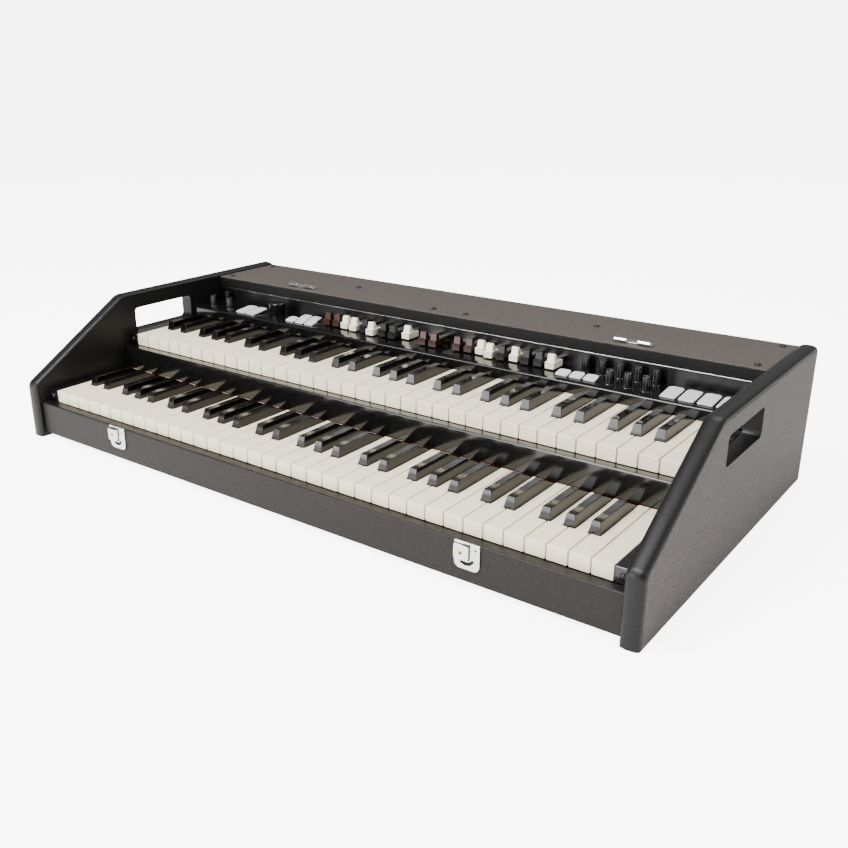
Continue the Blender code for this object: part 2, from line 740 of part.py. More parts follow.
def moving_keys():
    """The meshes of one octave of keys, each with its origin on the pivot axis."""
    shapes = {}
    to_pivot = Matrix.Translation((0, -PIVOT_BACK, TAIL_RADIUS))
    sharp = sharp_key(True)
    sharp.transform(to_pivot)
    for i in range(NATURALS):
        if octave(i) != MOVING_OCTAVE:
            continue
        note = NOTES[i % len(NOTES)].lower()
        mesh = natural_key(i, True)
        mesh.transform(to_pivot)
        shapes[f"{note}{MOVING_OCTAVE}"] = (mesh, natural_x(i), IVORY)
        if sharp_x(i) is not None:
            shapes[f"{note}_sharp{MOVING_OCTAVE}"] = (sharp, sharp_x(i), EBONY)
    return shapes


def end_block(name, side, manual):
    """The block that fills in beside the end key, with the screw that holds its front."""
    half = END_BLOCK_WIDTH / 2
    outline = rounded([(0, -BED_HEIGHT, 0), (END_BLOCK_LENGTH, -BED_HEIGHT, 0), (END_BLOCK_LENGTH, 0, 0),
                       (0, 0, END_BLOCK_EDGE)])
    body = painted(extruded([outline], 2 * half, "YZ"), GLOSS_BLACK)
    head = turned([(0, END_SCREW_HEIGHT), (END_SCREW_RADIUS * 0.7, END_SCREW_HEIGHT * 0.8),
                   (END_SCREW_RADIUS, 0), (END_SCREW_RADIUS, -END_SCREW_HEIGHT),
                   (0, -END_SCREW_HEIGHT)], 10)
    head.transform(Matrix.Translation((0, 0, -END_SCREW_DROP)) @ Matrix.Rotation(math.pi / 2, 4, "X"))
    piece(name, joined(body, painted(head, CHROME)), GLOSS_BLACK, location=(side * BLOCK_X, 0, 0),
          parent=manual)


# Controls

def drawbar(colour):
    """A drawbar: a stepped cap with an upright fin, on a flat steel stem."""
    fin_top = FIN_FRONT + FIN_LEAN
    profile = [
        (0, 0), (DRAWBAR_BASE_DEPTH, 0), (DRAWBAR_BASE_DEPTH, DRAWBAR_BASE_HEIGHT),
        (FIN_BACK, DRAWBAR_BASE_HEIGHT + STEM_SINK), (fin_top + FIN_TOP_DEPTH, DRAWBAR_HEIGHT),
        (fin_top, DRAWBAR_HEIGHT), (FIN_FRONT, DRAWBAR_BASE_HEIGHT), (0, DRAWBAR_BASE_HEIGHT - STEM_SINK),
    ]
    cap = painted(extruded([profile], DRAWBAR_WIDTH, "YZ"), CAPS[colour])
    stem = block((-STEM_WIDTH / 2, FIN_BACK + STEM_THICKNESS, STEM_LOW),
                 (STEM_WIDTH / 2, DRAWBAR_BASE_DEPTH + STEM_LENGTH, STEM_LOW + STEM_THICKNESS))
    return joined(cap, painted(stem, STEEL))


def drawbar_places():
    """Each drawbar's name, colour, X and how far it is drawn: two sets of nine and two between."""
    sets = (("upper", 0, SET_COLOURS, UPPER_DRAWN), ("pedal", 10, ("brown", "brown"), PEDAL_DRAWN),
            ("lower", 13, SET_COLOURS, LOWER_DRAWN))
    places = []
    for name, first, colours, drawn in sets:
        for i, colour in enumerate(colours):
            x = (first + i - 10.5) * DRAWBAR_PITCH
            places.append((f"{name}_drawbar_{i + 1}", colour, x, drawn[i]))
    return places


def knob():
    """A small round knob on its shaft, with its foot at Z = 0."""
    top = KNOB_RADIUS - KNOB_TAPER
    return turned([(0, KNOB_HEIGHT), (top - KNOB_EDGE, KNOB_HEIGHT), (top, KNOB_HEIGHT - KNOB_EDGE),
                   (KNOB_RADIUS, 0), (SHAFT_RADIUS, 0), (SHAFT_RADIUS, -SHAFT_LENGTH),
                   (0, -SHAFT_LENGTH)], 8)


def dial():
    """The large selector knob: a broad cap over a narrower body."""
    cap_low = DIAL_HEIGHT - DIAL_CAP_HEIGHT
    return turned([(0, DIAL_HEIGHT), (DIAL_RADIUS - KNOB_EDGE, DIAL_HEIGHT),
                   (DIAL_RADIUS, DIAL_HEIGHT - KNOB_EDGE), (DIAL_RADIUS, cap_low),
                   (DIAL_BODY_RADIUS, cap_low - KNOB_EDGE), (DIAL_BODY_RADIUS, 0), (SHAFT_RADIUS, 0),
                   (SHAFT_RADIUS, -SHAFT_LENGTH), (0, -SHAFT_LENGTH)], 20)


def tab_plate(size):
    """A rocker tab's tilted plate, with the middle of its front foot at the origin."""
    width, depth = size
    low = FIT
    profile = [(0, low), (depth, low + TAB_RISE), (depth, low + TAB_RISE + TAB_THICKNESS),
               (depth / 2, low + TAB_RISE / 2 + TAB_THICKNESS + TAB_CROWN), (0, low + TAB_THICKNESS)]
    return painted(extruded([profile], width, "YZ"), WHITE_PLASTIC)


def fixed_tab(size):
    """A rocker tab with its web let into the panel."""
    middle = size[1] / 2
    web = block((-TAB_WEB_WIDTH / 2, middle - TAB_WEB_DEPTH / 2, -PANEL_SHEET / 2),
                (TAB_WEB_WIDTH / 2, middle + TAB_WEB_DEPTH / 2, TAB_RISE / 2 + TAB_THICKNESS / 2))
    return joined(tab_plate(size), painted(web, WHITE_PLASTIC))


def panel_profile():
    """The folded panel's side view: front flange, top and the wall that rises to the lid."""
    sheet = PANEL_SHEET
    low = UPPER_Z + PANEL_OVER_KEYS
    return [
        (PANEL_FRONT, low), (PANEL_FRONT + sheet, low), (PANEL_FRONT + sheet, PANEL_UNDERSIDE),
        (PANEL_WALL + sheet, PANEL_UNDERSIDE), (PANEL_WALL + sheet, UNDER_LID), (PANEL_WALL, UNDER_LID),
        (PANEL_WALL, PANEL_TOP), (PANEL_FRONT, PANEL_TOP),
    ]


def guide_profile():
    """The flange under the lid, turned down again to guide the drawbar stems."""
    sheet = PANEL_SHEET
    back = PANEL_WALL + PANEL_FLANGE_DEPTH
    return [
        (PANEL_WALL + sheet / 2, UNDER_LID - sheet), (back - sheet, UNDER_LID - sheet),
        (back - sheet, UNDER_LID - GUIDE_DROP), (back, UNDER_LID - GUIDE_DROP),
        (back, UNDER_LID), (PANEL_WALL + sheet / 2, UNDER_LID),
    ]


def make_controls():
    """The control panel with the controls that are fixed in this model, and those that move."""
    panel = piece("control_panel", extruded([panel_profile()], 2 * BOARD_X, "YZ"), GLOSS_BLACK)
    guide_x = BOARD_X - PANEL_FLANGE_END
    combine(panel, "UNION", painted(extruded([guide_profile()], 2 * guide_x, "YZ"), GLOSS_BLACK))
    for side in (-1, 1):
        inner, outer = sorted((side * (BOARD_X - PANEL_SHEET), side * BOARD_X))
        combine(panel, "UNION", painted(block(
            (inner, UPPER_Y + END_BLOCK_LENGTH + FIT, UPPER_Z + PANEL_OVER_KEYS),
            (outer, PANEL_WALL, PANEL_TOP - PANEL_SHEET / 2)), GLOSS_BLACK))
    combine(panel, "DIFFERENCE", merged(make_moving_controls()))
    combine(panel, "UNION", merged(fixed_controls()))
    combine(panel, "UNION", merged(tab_lugs()))


def make_moving_controls():
    """Makes the controls that move, and gives the holes that they need in the panel."""
    holes = []
    shapes = {colour: drawbar(colour) for colour in CAPS}
    slot = block((-STEM_WIDTH / 2 - RUNNING_FIT, 0, STEM_LOW - RUNNING_FIT),
                 (STEM_WIDTH / 2 + RUNNING_FIT, PANEL_FLANGE_DEPTH * 2, STEM_LOW + STEM_THICKNESS + RUNNING_FIT))
    for name, colour, x, drawn in drawbar_places():
        if name.startswith("upper"):
            piece(name, shapes[colour], CAPS[colour], location=(x, DRAWBAR_IN - drawn, DRAWBAR_Z))
            holes.append((slot, (x, PANEL_WALL - PANEL_FLANGE_DEPTH / 2, DRAWBAR_Z)))
    hole = rod(SHAFT_RADIUS + RUNNING_FIT, (0, 0, -SHAFT_LENGTH), (0, 0, SHAFT_LENGTH), "Z", 16)
    for name, shape, place in (("volume_knob", knob(), VOLUME_KNOB_AT), ("vibrato_knob", dial(), DIAL_AT)):
        piece(name, shape, BLACK_PLASTIC, location=(*place, KNOB_Z), smooth=True)
        holes.append((hole, (*place, PANEL_TOP)))
    holes.append(make_percussion_tab())
    return holes


def percussion_pivot():
    """The axis of the rocker tab that moves."""
    return Vector((PERCUSSION_TAB_X, LARGE_TAB_FRONT + LARGE_TAB[1] / 2, PANEL_TOP - TAB_WEB_DROP))


def make_percussion_tab():
    """Makes the rocker tab that moves, with its web and pivot pin, and gives its hole."""
    pivot = percussion_pivot()
    plate = tab_plate(LARGE_TAB)
    plate.transform(Matrix.Translation((0, -LARGE_TAB[1] / 2, TAB_WEB_DROP)))
    half = TAB_WEB_WIDTH / 2
    web = block((-half, -TAB_WEB_DEPTH / 2, -TAB_WEB_DEPTH / 2),
                (half, TAB_WEB_DEPTH / 2, TAB_WEB_DROP + TAB_RISE / 2 + TAB_THICKNESS / 2))
    reach = half + RUNNING_FIT + TAB_LUG
    pin = rod(TAB_PIN_RADIUS, (-reach, 0, 0), (reach, 0, 0), "X", 10)
    mesh = joined(plate, painted(web, WHITE_PLASTIC), painted(pin, WHITE_PLASTIC))
    piece("percussion_tab", mesh, WHITE_PLASTIC, location=pivot)
    depth = TAB_WEB_DEPTH / 2 + TAB_HOLE_SLACK
    hole = block((-half - RUNNING_FIT, -depth, TAB_WEB_DROP - PANEL_SHEET * 2),
                 (half + RUNNING_FIT, depth, TAB_WEB_DROP + PANEL_SHEET))
    return hole, pivot


def tab_lugs():
    """The two lugs under the panel that the rocker tab's pin turns in."""
    pivot = percussion_pivot()
    inner = TAB_WEB_WIDTH / 2 + RUNNING_FIT
    depth = TAB_WEB_DEPTH / 2 + TAB_PIN_RADIUS
    bore = rod(TAB_PIN_RADIUS + RUNNING_FIT, (-inner * 2, 0, 0), (inner * 2, 0, 0), "X", 10)
    lugs = []
    for side in (-1, 1):
        low, high = sorted((side * inner, side * (inner + TAB_LUG)))
        lug = block((low, -depth, -depth), (high, depth, TAB_WEB_DROP - PANEL_SHEET / 2))
        lugs.append((painted(cut(lug, bore.copy()), GLOSS_BLACK), pivot))
    return lugs


def fixed_controls():
    """The drawbars, knobs and tabs that are one with the panel in this model."""
    parts = []
    shapes = {colour: drawbar(colour) for colour in CAPS}
    for name, colour, x, drawn in drawbar_places():
        if not name.startswith("upper"):
            parts.append((shapes[colour], (x, DRAWBAR_IN - drawn, DRAWBAR_Z)))
    small = painted(knob(), BLACK_PLASTIC)
    parts += [(small, (x, y, KNOB_Z)) for x, y in FIXED_KNOBS_AT]
    large_tab = fixed_tab(LARGE_TAB)
    small_tab = fixed_tab(SMALL_TAB)
    parts += [(large_tab, (x, LARGE_TAB_FRONT, PANEL_TOP)) for x in FIXED_LARGE_TABS_X]
    parts += [(small_tab, (x, SMALL_TAB_FRONT, PANEL_TOP)) for x in FIXED_SMALL_TABS_X]
    parts += [(small_tab, (x, SMALL_TAB_BACK_ROW, PANEL_TOP)) for x in FIXED_BACK_TABS_X]
    return parts


# Catches

def front_catch(name, side):
    """A cover catch on the front rail: plate, latch box with its screw, and a rivet."""
    half = FRONT_CATCH_WIDTH / 2
    plate = rounded([(-half, -FRONT_CATCH_HEIGHT, FRONT_CATCH_RADIUS),
                     (half, -FRONT_CATCH_HEIGHT, FRONT_CATCH_RADIUS),
                     (half, 0, RAIL_EDGE), (-half, 0, RAIL_EDGE)])
    plate = extruded([plate], CATCH_SHEET, "XZ", at=(0, -CATCH_SHEET / 2, 0))
    box_low = -CATCH_BOX_HEIGHT - RAIL_EDGE * 3
    box = block((-half + RAIL_EDGE, -CATCH_BOX_DEPTH, box_low),
                (-half + RAIL_EDGE + CATCH_BOX_WIDTH, -CATCH_SHEET / 2, box_low + CATCH_BOX_HEIGHT))
    screw_x = -half + RAIL_EDGE + CATCH_BOX_WIDTH / 2
    screw_z = box_low + CATCH_BOX_HEIGHT / 2
    screw = rod(CATCH_SCREW_RADIUS, (screw_x, -CATCH_BOX_DEPTH - CATCH_SHEET / 2, screw_z),
                (screw_x, -CATCH_SHEET, screw_z), "Y")
    rivet_x = half - CATCH_RIVET_RADIUS * 2
    rivet = rod(CATCH_RIVET_RADIUS, (rivet_x, -CATCH_SHEET * 1.5, box_low + CATCH_BOX_HEIGHT),
                (rivet_x, -CATCH_SHEET / 2, box_low + CATCH_BOX_HEIGHT), "Y")
    piece(name, joined(plate, box, screw, rivet), CHROME,
          location=(side * FRONT_CATCH_X, RAIL_FRONT - FIT, LOWER_Z - RAIL_DROP))


def lid_catch(name, side):
    """A cover catch on the lid: a plate with a turned-up hook at each end."""
    half = LID_CATCH_WIDTH / 2
    plate = block((-half, 0, 0), (half, LID_CATCH_DEPTH, CATCH_SHEET))
    height = LID_CATCH_HOOK_HEIGHT
    hook = [(0, CATCH_SHEET / 2), (CATCH_SHEET, CATCH_SHEET / 2), (CATCH_SHEET, height - CATCH_SHEET),
            (CATCH_SHEET * 3, height - CATCH_SHEET), (CATCH_SHEET * 3, height), (0, height)]
    hooks = []
    for end in (-1, 1):
        middle = end * (half - LID_CATCH_HOOK_WIDTH / 2 - CATCH_SHEET / 4)
        hooks.append(extruded([hook], LID_CATCH_HOOK_WIDTH, "YZ", at=(middle, CATCH_SHEET / 4, 0)))
    piece(name, joined(plate, *hooks), CHROME,
          location=(side * LID_CATCH_X, LID_FRONT + LID_CATCH_INSET, LID_TOP + FIT))


# Electrical pieces

def mains_inlet():
    """The inlet module in the rear panel: plug recess with three pins, and a well for the switch."""
    half_width = INLET_BODY_WIDTH / 2
    half_height = INLET_BODY_HEIGHT / 2
    bezel = rectangle((-INLET_WIDTH / 2, -INLET_HEIGHT / 2), (INLET_WIDTH / 2, INLET_HEIGHT / 2), INLET_BEZEL)
    bezel = extruded([bezel], INLET_BEZEL, "XZ", at=(0, -INLET_BEZEL / 2, 0))
    seat = INLET_BEZEL + REAR_SHEET + FIT * 2
    body = block((-half_width, -INLET_BODY_DEPTH, -half_height), (half_width, -INLET_BEZEL / 2, half_height))
    recess = rounded([
        (RECESS_X - RECESS_WIDTH / 2, -RECESS_HEIGHT / 2, 0), (RECESS_X + RECESS_WIDTH / 2, -RECESS_HEIGHT / 2, 0),
        (RECESS_X + RECESS_WIDTH / 2, RECESS_HEIGHT / 2 - RECESS_CORNER, 0),
        (RECESS_X + RECESS_WIDTH / 2 - RECESS_CORNER, RECESS_HEIGHT / 2, 0),
        (RECESS_X - RECESS_WIDTH / 2 + RECESS_CORNER, RECESS_HEIGHT / 2, 0),
        (RECESS_X - RECESS_WIDTH / 2, RECESS_HEIGHT / 2 - RECESS_CORNER, 0),
    ])
    recess = extruded([recess], RECESS_DEPTH * 2, "XZ")
    well_half = ROCKER_RADIUS + ROCKER_GAP
    well_x = ROCKER_WIDTH / 2 + RUNNING_FIT
    well = block((ROCKER_X - well_x, -ROCKER_DEPTH - well_half, -well_half),
                 (ROCKER_X + well_x, INLET_BEZEL, well_half))
    pin_x = well_x + ROCKER_PIN_REACH + RUNNING_FIT
    bore = rod(ROCKER_PIN_RADIUS + RUNNING_FIT, (ROCKER_X - pin_x, -ROCKER_DEPTH, 0),
               (ROCKER_X + pin_x, -ROCKER_DEPTH, 0), "X")
    mesh = cut(joined(bezel, body), recess, well, bore)
    pins = []
    for i in (-1, 0, 1):
        pins.append(block((RECESS_X + i * PIN_PITCH - PIN_WIDTH / 2, -RECESS_DEPTH - PIN_WIDTH, -PIN_HEIGHT / 2),
                          (RECESS_X + i * PIN_PITCH + PIN_WIDTH / 2, -RECESS_DEPTH + PIN_LENGTH, PIN_HEIGHT / 2)))
    face = REAR_INNER - FIT + seat
    piece("mains_inlet", joined(mesh, *pins), BLACK_PLASTIC, location=(INLET_X, face, SOCKET_HEIGHT))
    power_switch(face)


def power_switch(face):
    """The rocker of the mains switch, tipped to off, on its two stub pins."""
    crest = ROCKER_DEPTH + ROCKER_PROUD
    slope = math.tan(ROCKER_TILT)
    a = 1 + slope ** 2
    b = crest * slope
    edge = (math.sqrt(b ** 2 - a * (crest ** 2 - ROCKER_RADIUS ** 2)) - b) / a
    rise = math.degrees(math.asin((crest + slope * edge) / ROCKER_RADIUS))
    right = arc((0, 0), ROCKER_RADIUS, rise, -30, 5)
    left = [(-z, y) for z, y in reversed(right)]
    outline = [(0, crest)] + left[::-1] + right[::-1]
    outline = [(y, -z) for z, y in outline]
    mesh = extruded([outline], ROCKER_WIDTH, "YZ")
    reach = ROCKER_WIDTH / 2 + RUNNING_FIT + ROCKER_PIN_REACH
    pins = rod(ROCKER_PIN_RADIUS, (-reach, 0, 0), (reach, 0, 0), "X")
    item = piece("power_switch", joined(mesh, pins), BLACK_PLASTIC,
                 location=(INLET_X + ROCKER_X, face - ROCKER_DEPTH, SOCKET_HEIGHT))
    item.rotation_euler = (ROCKER_TILT, 0, 0)


def jack_board():
    """Four jack sockets on their board, their threaded bushes and nuts through the rear panel."""
    half = JACK_BODY / 2
    body_back = REAR_INNER - FIT
    low = -half - BOARD_THICKNESS + FIT
    xs = jack_places()
    board = block((xs[0] - JACK_PITCH, -JACK_BOARD_DEPTH, low), (xs[-1] + JACK_PITCH, 0, -half + FIT))
    sockets = []
    bores = []
    nut_y = REAR_SHEET + 2 * FIT
    for x in xs:
        body = block((x - half, -JACK_BODY_DEPTH, -half), (x + half, 0, half))
        bush = rod(JACK_BUSH_RADIUS, (x, -half, 0), (x, REAR_SHEET + JACK_BUSH_REACH, 0), "Y")
        nut = rod(JACK_NUT_RADIUS, (x, nut_y, 0), (x, nut_y + JACK_NUT_THICKNESS, 0), "Y", 6)
        sockets += [body, bush, nut]
        bores.append(rod(JACK_BORE_RADIUS, (x, -JACK_BODY_DEPTH + half / 2, 0),
                         (x, REAR_SHEET + JACK_BUSH_REACH * 2, 0), "Y"))
    mesh = cut(joined(painted(board, BOARD_GREEN), *[painted(s, BLACK_PLASTIC) for s in sockets]), *bores)
    piece("jack_board", mesh, BOARD_GREEN, location=(0, body_back, SOCKET_HEIGHT))


def power_supply():
    """The supply unit on the base board: a vented case with its row of terminals."""
    width, depth, height = SUPPLY_SIZE
    case = painted(block((-width / 2, -depth / 2, 0), (width / 2, depth / 2, height)), STEEL)
    terminals = block((-width / 3, -depth / 2 - STANDOFF_HEIGHT, 0), (width / 3, -depth / 2 + FIT, height / 3))
    mesh = joined(case, painted(terminals, BLACK_PLASTIC))
    piece("power_supply", mesh, STEEL, location=(SUPPLY_X, SUPPLY_Y, BASE_TOP + FIT))


def main_board():
    """The sound board on the shelf behind the upper keybed, on four standoffs."""
    width, depth = MAIN_BOARD_SIZE
    low = STANDOFF_HEIGHT
    high = low + BOARD_THICKNESS
    board = painted(block((-width / 2, -depth / 2, low), (width / 2, depth / 2, high)), BOARD_GREEN)
    parts = []
    inset = STANDOFF_RADIUS * 2
    for x in (-width / 2 + inset, width / 2 - inset):
        for y in (-depth / 2 + inset, depth / 2 - inset):
            parts.append(painted(rod(STANDOFF_RADIUS, (x, y, 0), (x, y, low + FIT), "Z", 8), STEEL))
    chip = depth / 5
    for x in (-width / 4, 0, width / 4):
        parts.append(painted(block((x - chip, -chip / 2, high - FIT), (x + chip, chip / 2, high + FIT * 8)),
                             BLACK_PLASTIC))
    piece("main_board", joined(board, *parts), BOARD_GREEN,
          location=(MAIN_BOARD_X, MAIN_BOARD_Y, SHELF_TOP + FIT))


make_case()
KEY_SHAPES = moving_keys()
FIXED_KEYS = fixed_keys()
make_manual("lower", LOWER_Y, LOWER_Z, KEY_SHAPES, FIXED_KEYS)
make_manual("upper", UPPER_Y, UPPER_Z, KEY_SHAPES, FIXED_KEYS)
make_controls()
for word, direction in (("left", -1), ("right", 1)):
    front_catch(f"front_catch_{word}", direction)
    lid_catch(f"lid_catch_{word}", direction)
mains_inlet()
jack_board()
power_supply()
main_board()
bpy.context.view_layer.update()
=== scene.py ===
# %% [markdown]
# This lesson dresses a table-top organ with two manuals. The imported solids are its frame: they
# give every place and size, and they carry the joints. Each key, drawbar, knob and tab becomes a
# mesh of its own with eased edges, and each surface gets a finish that is wired from nodes.

# %% Load the frame
import math

import bmesh
import bpy
from mathutils import Matrix, Vector


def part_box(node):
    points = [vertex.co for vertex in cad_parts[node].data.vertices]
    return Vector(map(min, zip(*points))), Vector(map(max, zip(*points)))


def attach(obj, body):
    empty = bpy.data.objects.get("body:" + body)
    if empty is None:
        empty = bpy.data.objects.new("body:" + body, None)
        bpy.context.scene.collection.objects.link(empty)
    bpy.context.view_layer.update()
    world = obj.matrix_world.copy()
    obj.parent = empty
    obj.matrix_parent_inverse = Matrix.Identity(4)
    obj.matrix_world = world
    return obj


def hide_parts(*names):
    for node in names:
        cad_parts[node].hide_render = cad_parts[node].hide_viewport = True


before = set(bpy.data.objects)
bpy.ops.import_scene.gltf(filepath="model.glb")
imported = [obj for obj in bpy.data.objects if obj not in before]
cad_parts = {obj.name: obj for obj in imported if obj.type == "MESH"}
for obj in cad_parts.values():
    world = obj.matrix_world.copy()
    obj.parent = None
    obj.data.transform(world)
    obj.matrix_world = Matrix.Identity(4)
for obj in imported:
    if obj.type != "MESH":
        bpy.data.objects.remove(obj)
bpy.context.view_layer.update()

# %% [markdown]
# Shader maths is easier to read as Python than as one node after the other. A signal is one
# output of a node. Adding or multiplying signals adds the Math node that does it, and one
# method makes every other kind of node, so a finish can be written in a few lines.


# %% A signal that Python's operators work on
class Signal:
    """One output of a shader node."""

    def __init__(self, socket):
        self.socket = socket

    @classmethod
    def node(cls, tree, kind, settings=None, values=None, out=0):
        """Adds a node, sets it up, feeds its inputs with numbers or signals, gives an output."""
        made = tree.nodes.new(kind)
        for name, value in (settings or {}).items():
            if name != "stops":
                setattr(made, name, value)
                continue
            for element, (place, shade) in zip(made.color_ramp.elements, value):
                element.position = place
                element.color = (shade, shade, shade, 1)
        for name, value in (values or {}).items():
            if isinstance(value, Signal):
                tree.links.new(value.socket, made.inputs[name])
            else:
                made.inputs[name].default_value = value
        return cls(made.outputs[out])

    def maths(self, operation, other, swapped=False):
        """The Math or Vector Math node that an operator stands for."""
        pair = (other, self) if swapped else (self, other)
        flat = self.socket.type == "VALUE"
        kind = "ShaderNodeMath" if flat else "ShaderNodeVectorMath"
        values = {i: v if flat or isinstance(v, Signal) else (v, v, v) for i, v in enumerate(pair)}
        return Signal.node(self.socket.id_data, kind, {"operation": operation}, values)

    def __add__(self, other):
        return self.maths("ADD", other)

    __radd__ = __add__

    def __sub__(self, other):
        return self.maths("SUBTRACT", other)

    def __rsub__(self, other):
        return self.maths("SUBTRACT", other, swapped=True)

    def __mul__(self, other):
        return self.maths("MULTIPLY", other)

    __rmul__ = __mul__


print("a signal knows + - and *")

# %% [markdown]
# Every finish starts the same way: noise in the object's own metres, so that grain keeps its
# real size. Broad noise darkens the colour in clouds, and finer noise moves the roughness and
# raises the bump. What is the same all over goes straight onto the shader. A Mix node names its
# number, colour and vector sockets alike, so its colour sockets are called by their numbers.

# %% One recipe for all finishes
COLOUR_A, COLOUR_B, COLOUR_OUT = 6, 7, 2
OBJECT_PLACE = 3
CLOUD_EDGES = ((0.35, 0.0), (0.65, 1.0))
COAT_ROUGHNESS = 0.08


def noise(tree, scale, detail, stretch):
    """Noise from 0 to 1 whose blobs are about 1 / scale metres across."""
    place = Signal.node(tree, "ShaderNodeTexCoord", out=OBJECT_PLACE)
    place = Signal.node(tree, "ShaderNodeMapping", values={"Vector": place, "Scale": stretch})
    return Signal.node(tree, "ShaderNodeTexNoise",
                       values={"Vector": place, "Scale": scale, "Detail": detail})


def finish(name, colour, roughness, metallic=0.0, coat=0.0, specular=0.5, mottle=0.24, cloud=14,
           grain=600, depth=0.00003, spread=0.06, stretch=(1, 1, 1)):
    """A surface whose clouds are darker by mottle, with uneven gloss and grain of a depth in metres."""
    made = bpy.data.materials.new(name)
    made.use_nodes = True
    tree = made.node_tree
    shader = tree.nodes["Principled BSDF"]
    shader.inputs["Metallic"].default_value = metallic
    shader.inputs["Coat Weight"].default_value = coat
    shader.inputs["Coat Roughness"].default_value = COAT_ROUGHNESS
    shader.inputs["Specular IOR Level"].default_value = specular
    broad = noise(tree, cloud, 4.0, stretch)
    fine = noise(tree, grain, 2.0, stretch)
    darker = tuple(c * (1 - mottle) for c in colour)
    mask = Signal.node(tree, "ShaderNodeValToRGB", {"stops": CLOUD_EDGES}, {"Fac": broad})
    mix = Signal.node(tree, "ShaderNodeMix", {"data_type": "RGBA"},
                      {0: mask, COLOUR_A: (*colour, 1), COLOUR_B: (*darker, 1)}, out=COLOUR_OUT)
    tree.links.new(mix.socket, shader.inputs["Base Color"])
    gloss = (fine + broad - 1) * spread + roughness
    tree.links.new(gloss.socket, shader.inputs["Roughness"])
    bump = Signal.node(tree, "ShaderNodeBump", values={"Height": fine, "Distance": depth, "Strength": 1.0})
    tree.links.new(bump.socket, shader.inputs["Normal"])
    return made


print("recipe ready")

# %% [markdown]
# The case is sprayed with a hammered black paint, so its noise is strong and under two
# millimetres wide. Its texture is the paint's own, but its grey-brown colour is painted light, the
# look of the black paint where light falls on it. A black copy with the same texture is painted
# shade on the lid's edges. A texture like it in black also covers the edge trim and the front
# rail's ledge. Elsewhere the black is satin or glossy, and nearly plain.

# %% Finishes of the case
# Painted light: the black paint's lit grey-brown look, used as its colour; its grain is real.
LIT_PAINT = finish("textured_paint", (0.092, 0.079, 0.071), 0.58, specular=0.2, mottle=0.64,
               cloud=620, grain=900, depth=0.0006, spread=0.25)
# Painted shade: the same paint in black, for the lid's edges that face away from the light.
SHADED_PAINT = finish("shaded_paint_texture", (0.006, 0.0055, 0.0055), 0.45, specular=0.15, mottle=0.4,
                cloud=620, grain=800, depth=0.0007, spread=0.25)
INNER_BLACK = finish("inner_black", (0.004, 0.004, 0.004), 0.42, specular=0.3, depth=0.00002)
TRIM = finish("edge_trim", (0.006, 0.0055, 0.0055), 0.36, specular=0.25, mottle=0.4,
              cloud=500, grain=900, depth=0.00025, spread=0.15)
RAIL = finish("rail_satin", (0.020, 0.017, 0.0155), 0.42, specular=0.15,
              cloud=300, grain=900, depth=0.00008)
GLOSS = finish("panel_gloss", (0.0035, 0.0035, 0.0035), 0.14, coat=0.3,
               grain=200, depth=0.000004, spread=0.05)
WALL = finish("wall_satin", (0.004, 0.004, 0.004), 0.28, specular=0.4,
              grain=300, depth=0.000003, spread=0.02)
WOOD = finish("base_wood", (0.10, 0.065, 0.04), 0.72, mottle=0.32, cloud=20, stretch=(0.2, 2, 2))

# %% [markdown]
# Naturals are moulded in a warm ivory white. Their noise is stretched along the key, as the
# flow of the plastic is. Sharps are polished black, so nearly all that shows on them is
# reflection. The drawbar caps come in brown, white and black.

# %% Finishes of the keys and controls
IVORY = finish("ivory_key", (0.88, 0.80, 0.61), 0.30, coat=0.1, mottle=0.048,
               cloud=22, grain=160, depth=0.000006, stretch=(6, 0.6, 6))
EBONY = finish("ebony_key", (0.003, 0.0025, 0.0022), 0.12, specular=0.4,
               grain=300, depth=0.000006, spread=0.05)
WHITE_CAP = finish("white_cap", (0.88, 0.81, 0.64), 0.26, coat=0.3, mottle=0.04,
                   grain=500, depth=0.00001)
BROWN_CAP = finish("brown_cap", (0.034, 0.010, 0.007), 0.26, specular=0.3, mottle=0.32,
                   grain=500, depth=0.00001)
BLACK_CAP = finish("black_cap", (0.004, 0.004, 0.004), 0.28, specular=0.2,
                   grain=500, depth=0.00001)
TAB = finish("tab_white", (0.62, 0.61, 0.62), 0.26, coat=0.2, mottle=0.12,
             grain=700, depth=0.00002)
KNOB = finish("knob_black", (0.004, 0.004, 0.004), 0.22, grain=900, depth=0.00002)
CAPS = {"brown": BROWN_CAP, "white": WHITE_CAP, "black": BLACK_CAP}

# %% [markdown]
# What is left is metal and small parts: chrome catches with a brass screw, zinc-plated sheet,
# blackened screws, felt, the green boards inside and plain black mouldings.

# %% Finishes of metal and small parts
CHROME = finish("chrome", (0.84, 0.83, 0.82), 0.10, metallic=1.0, mottle=0.12,
                grain=300, depth=0.00001)
BRASS = finish("brass", (0.45, 0.30, 0.10), 0.25, metallic=1.0, mottle=0.4)
STEEL = finish("zinc_steel", (0.60, 0.60, 0.60), 0.26, metallic=1.0, cloud=60)
SCREW = finish("black_screw", (0.008, 0.008, 0.008), 0.35, metallic=0.4)
FELT = finish("red_felt", (0.045, 0.002, 0.002), 0.95, specular=0.1, mottle=0.4,
              grain=2500, depth=0.0002)
CIRCUIT = finish("circuit_board", (0.012, 0.12, 0.05), 0.42, mottle=0.4, cloud=90)
PLASTIC = finish("black_plastic", (0.006, 0.006, 0.006), 0.40)

# %% [markdown]
# The real parts are sawn, folded or moulded, so most of them are an outline with a thickness.
# An outline is a list of points, and its rounded corners are arcs. A corner could also be cut
# with a Bevel, but an arc in the outline keeps the radius that the real part has.

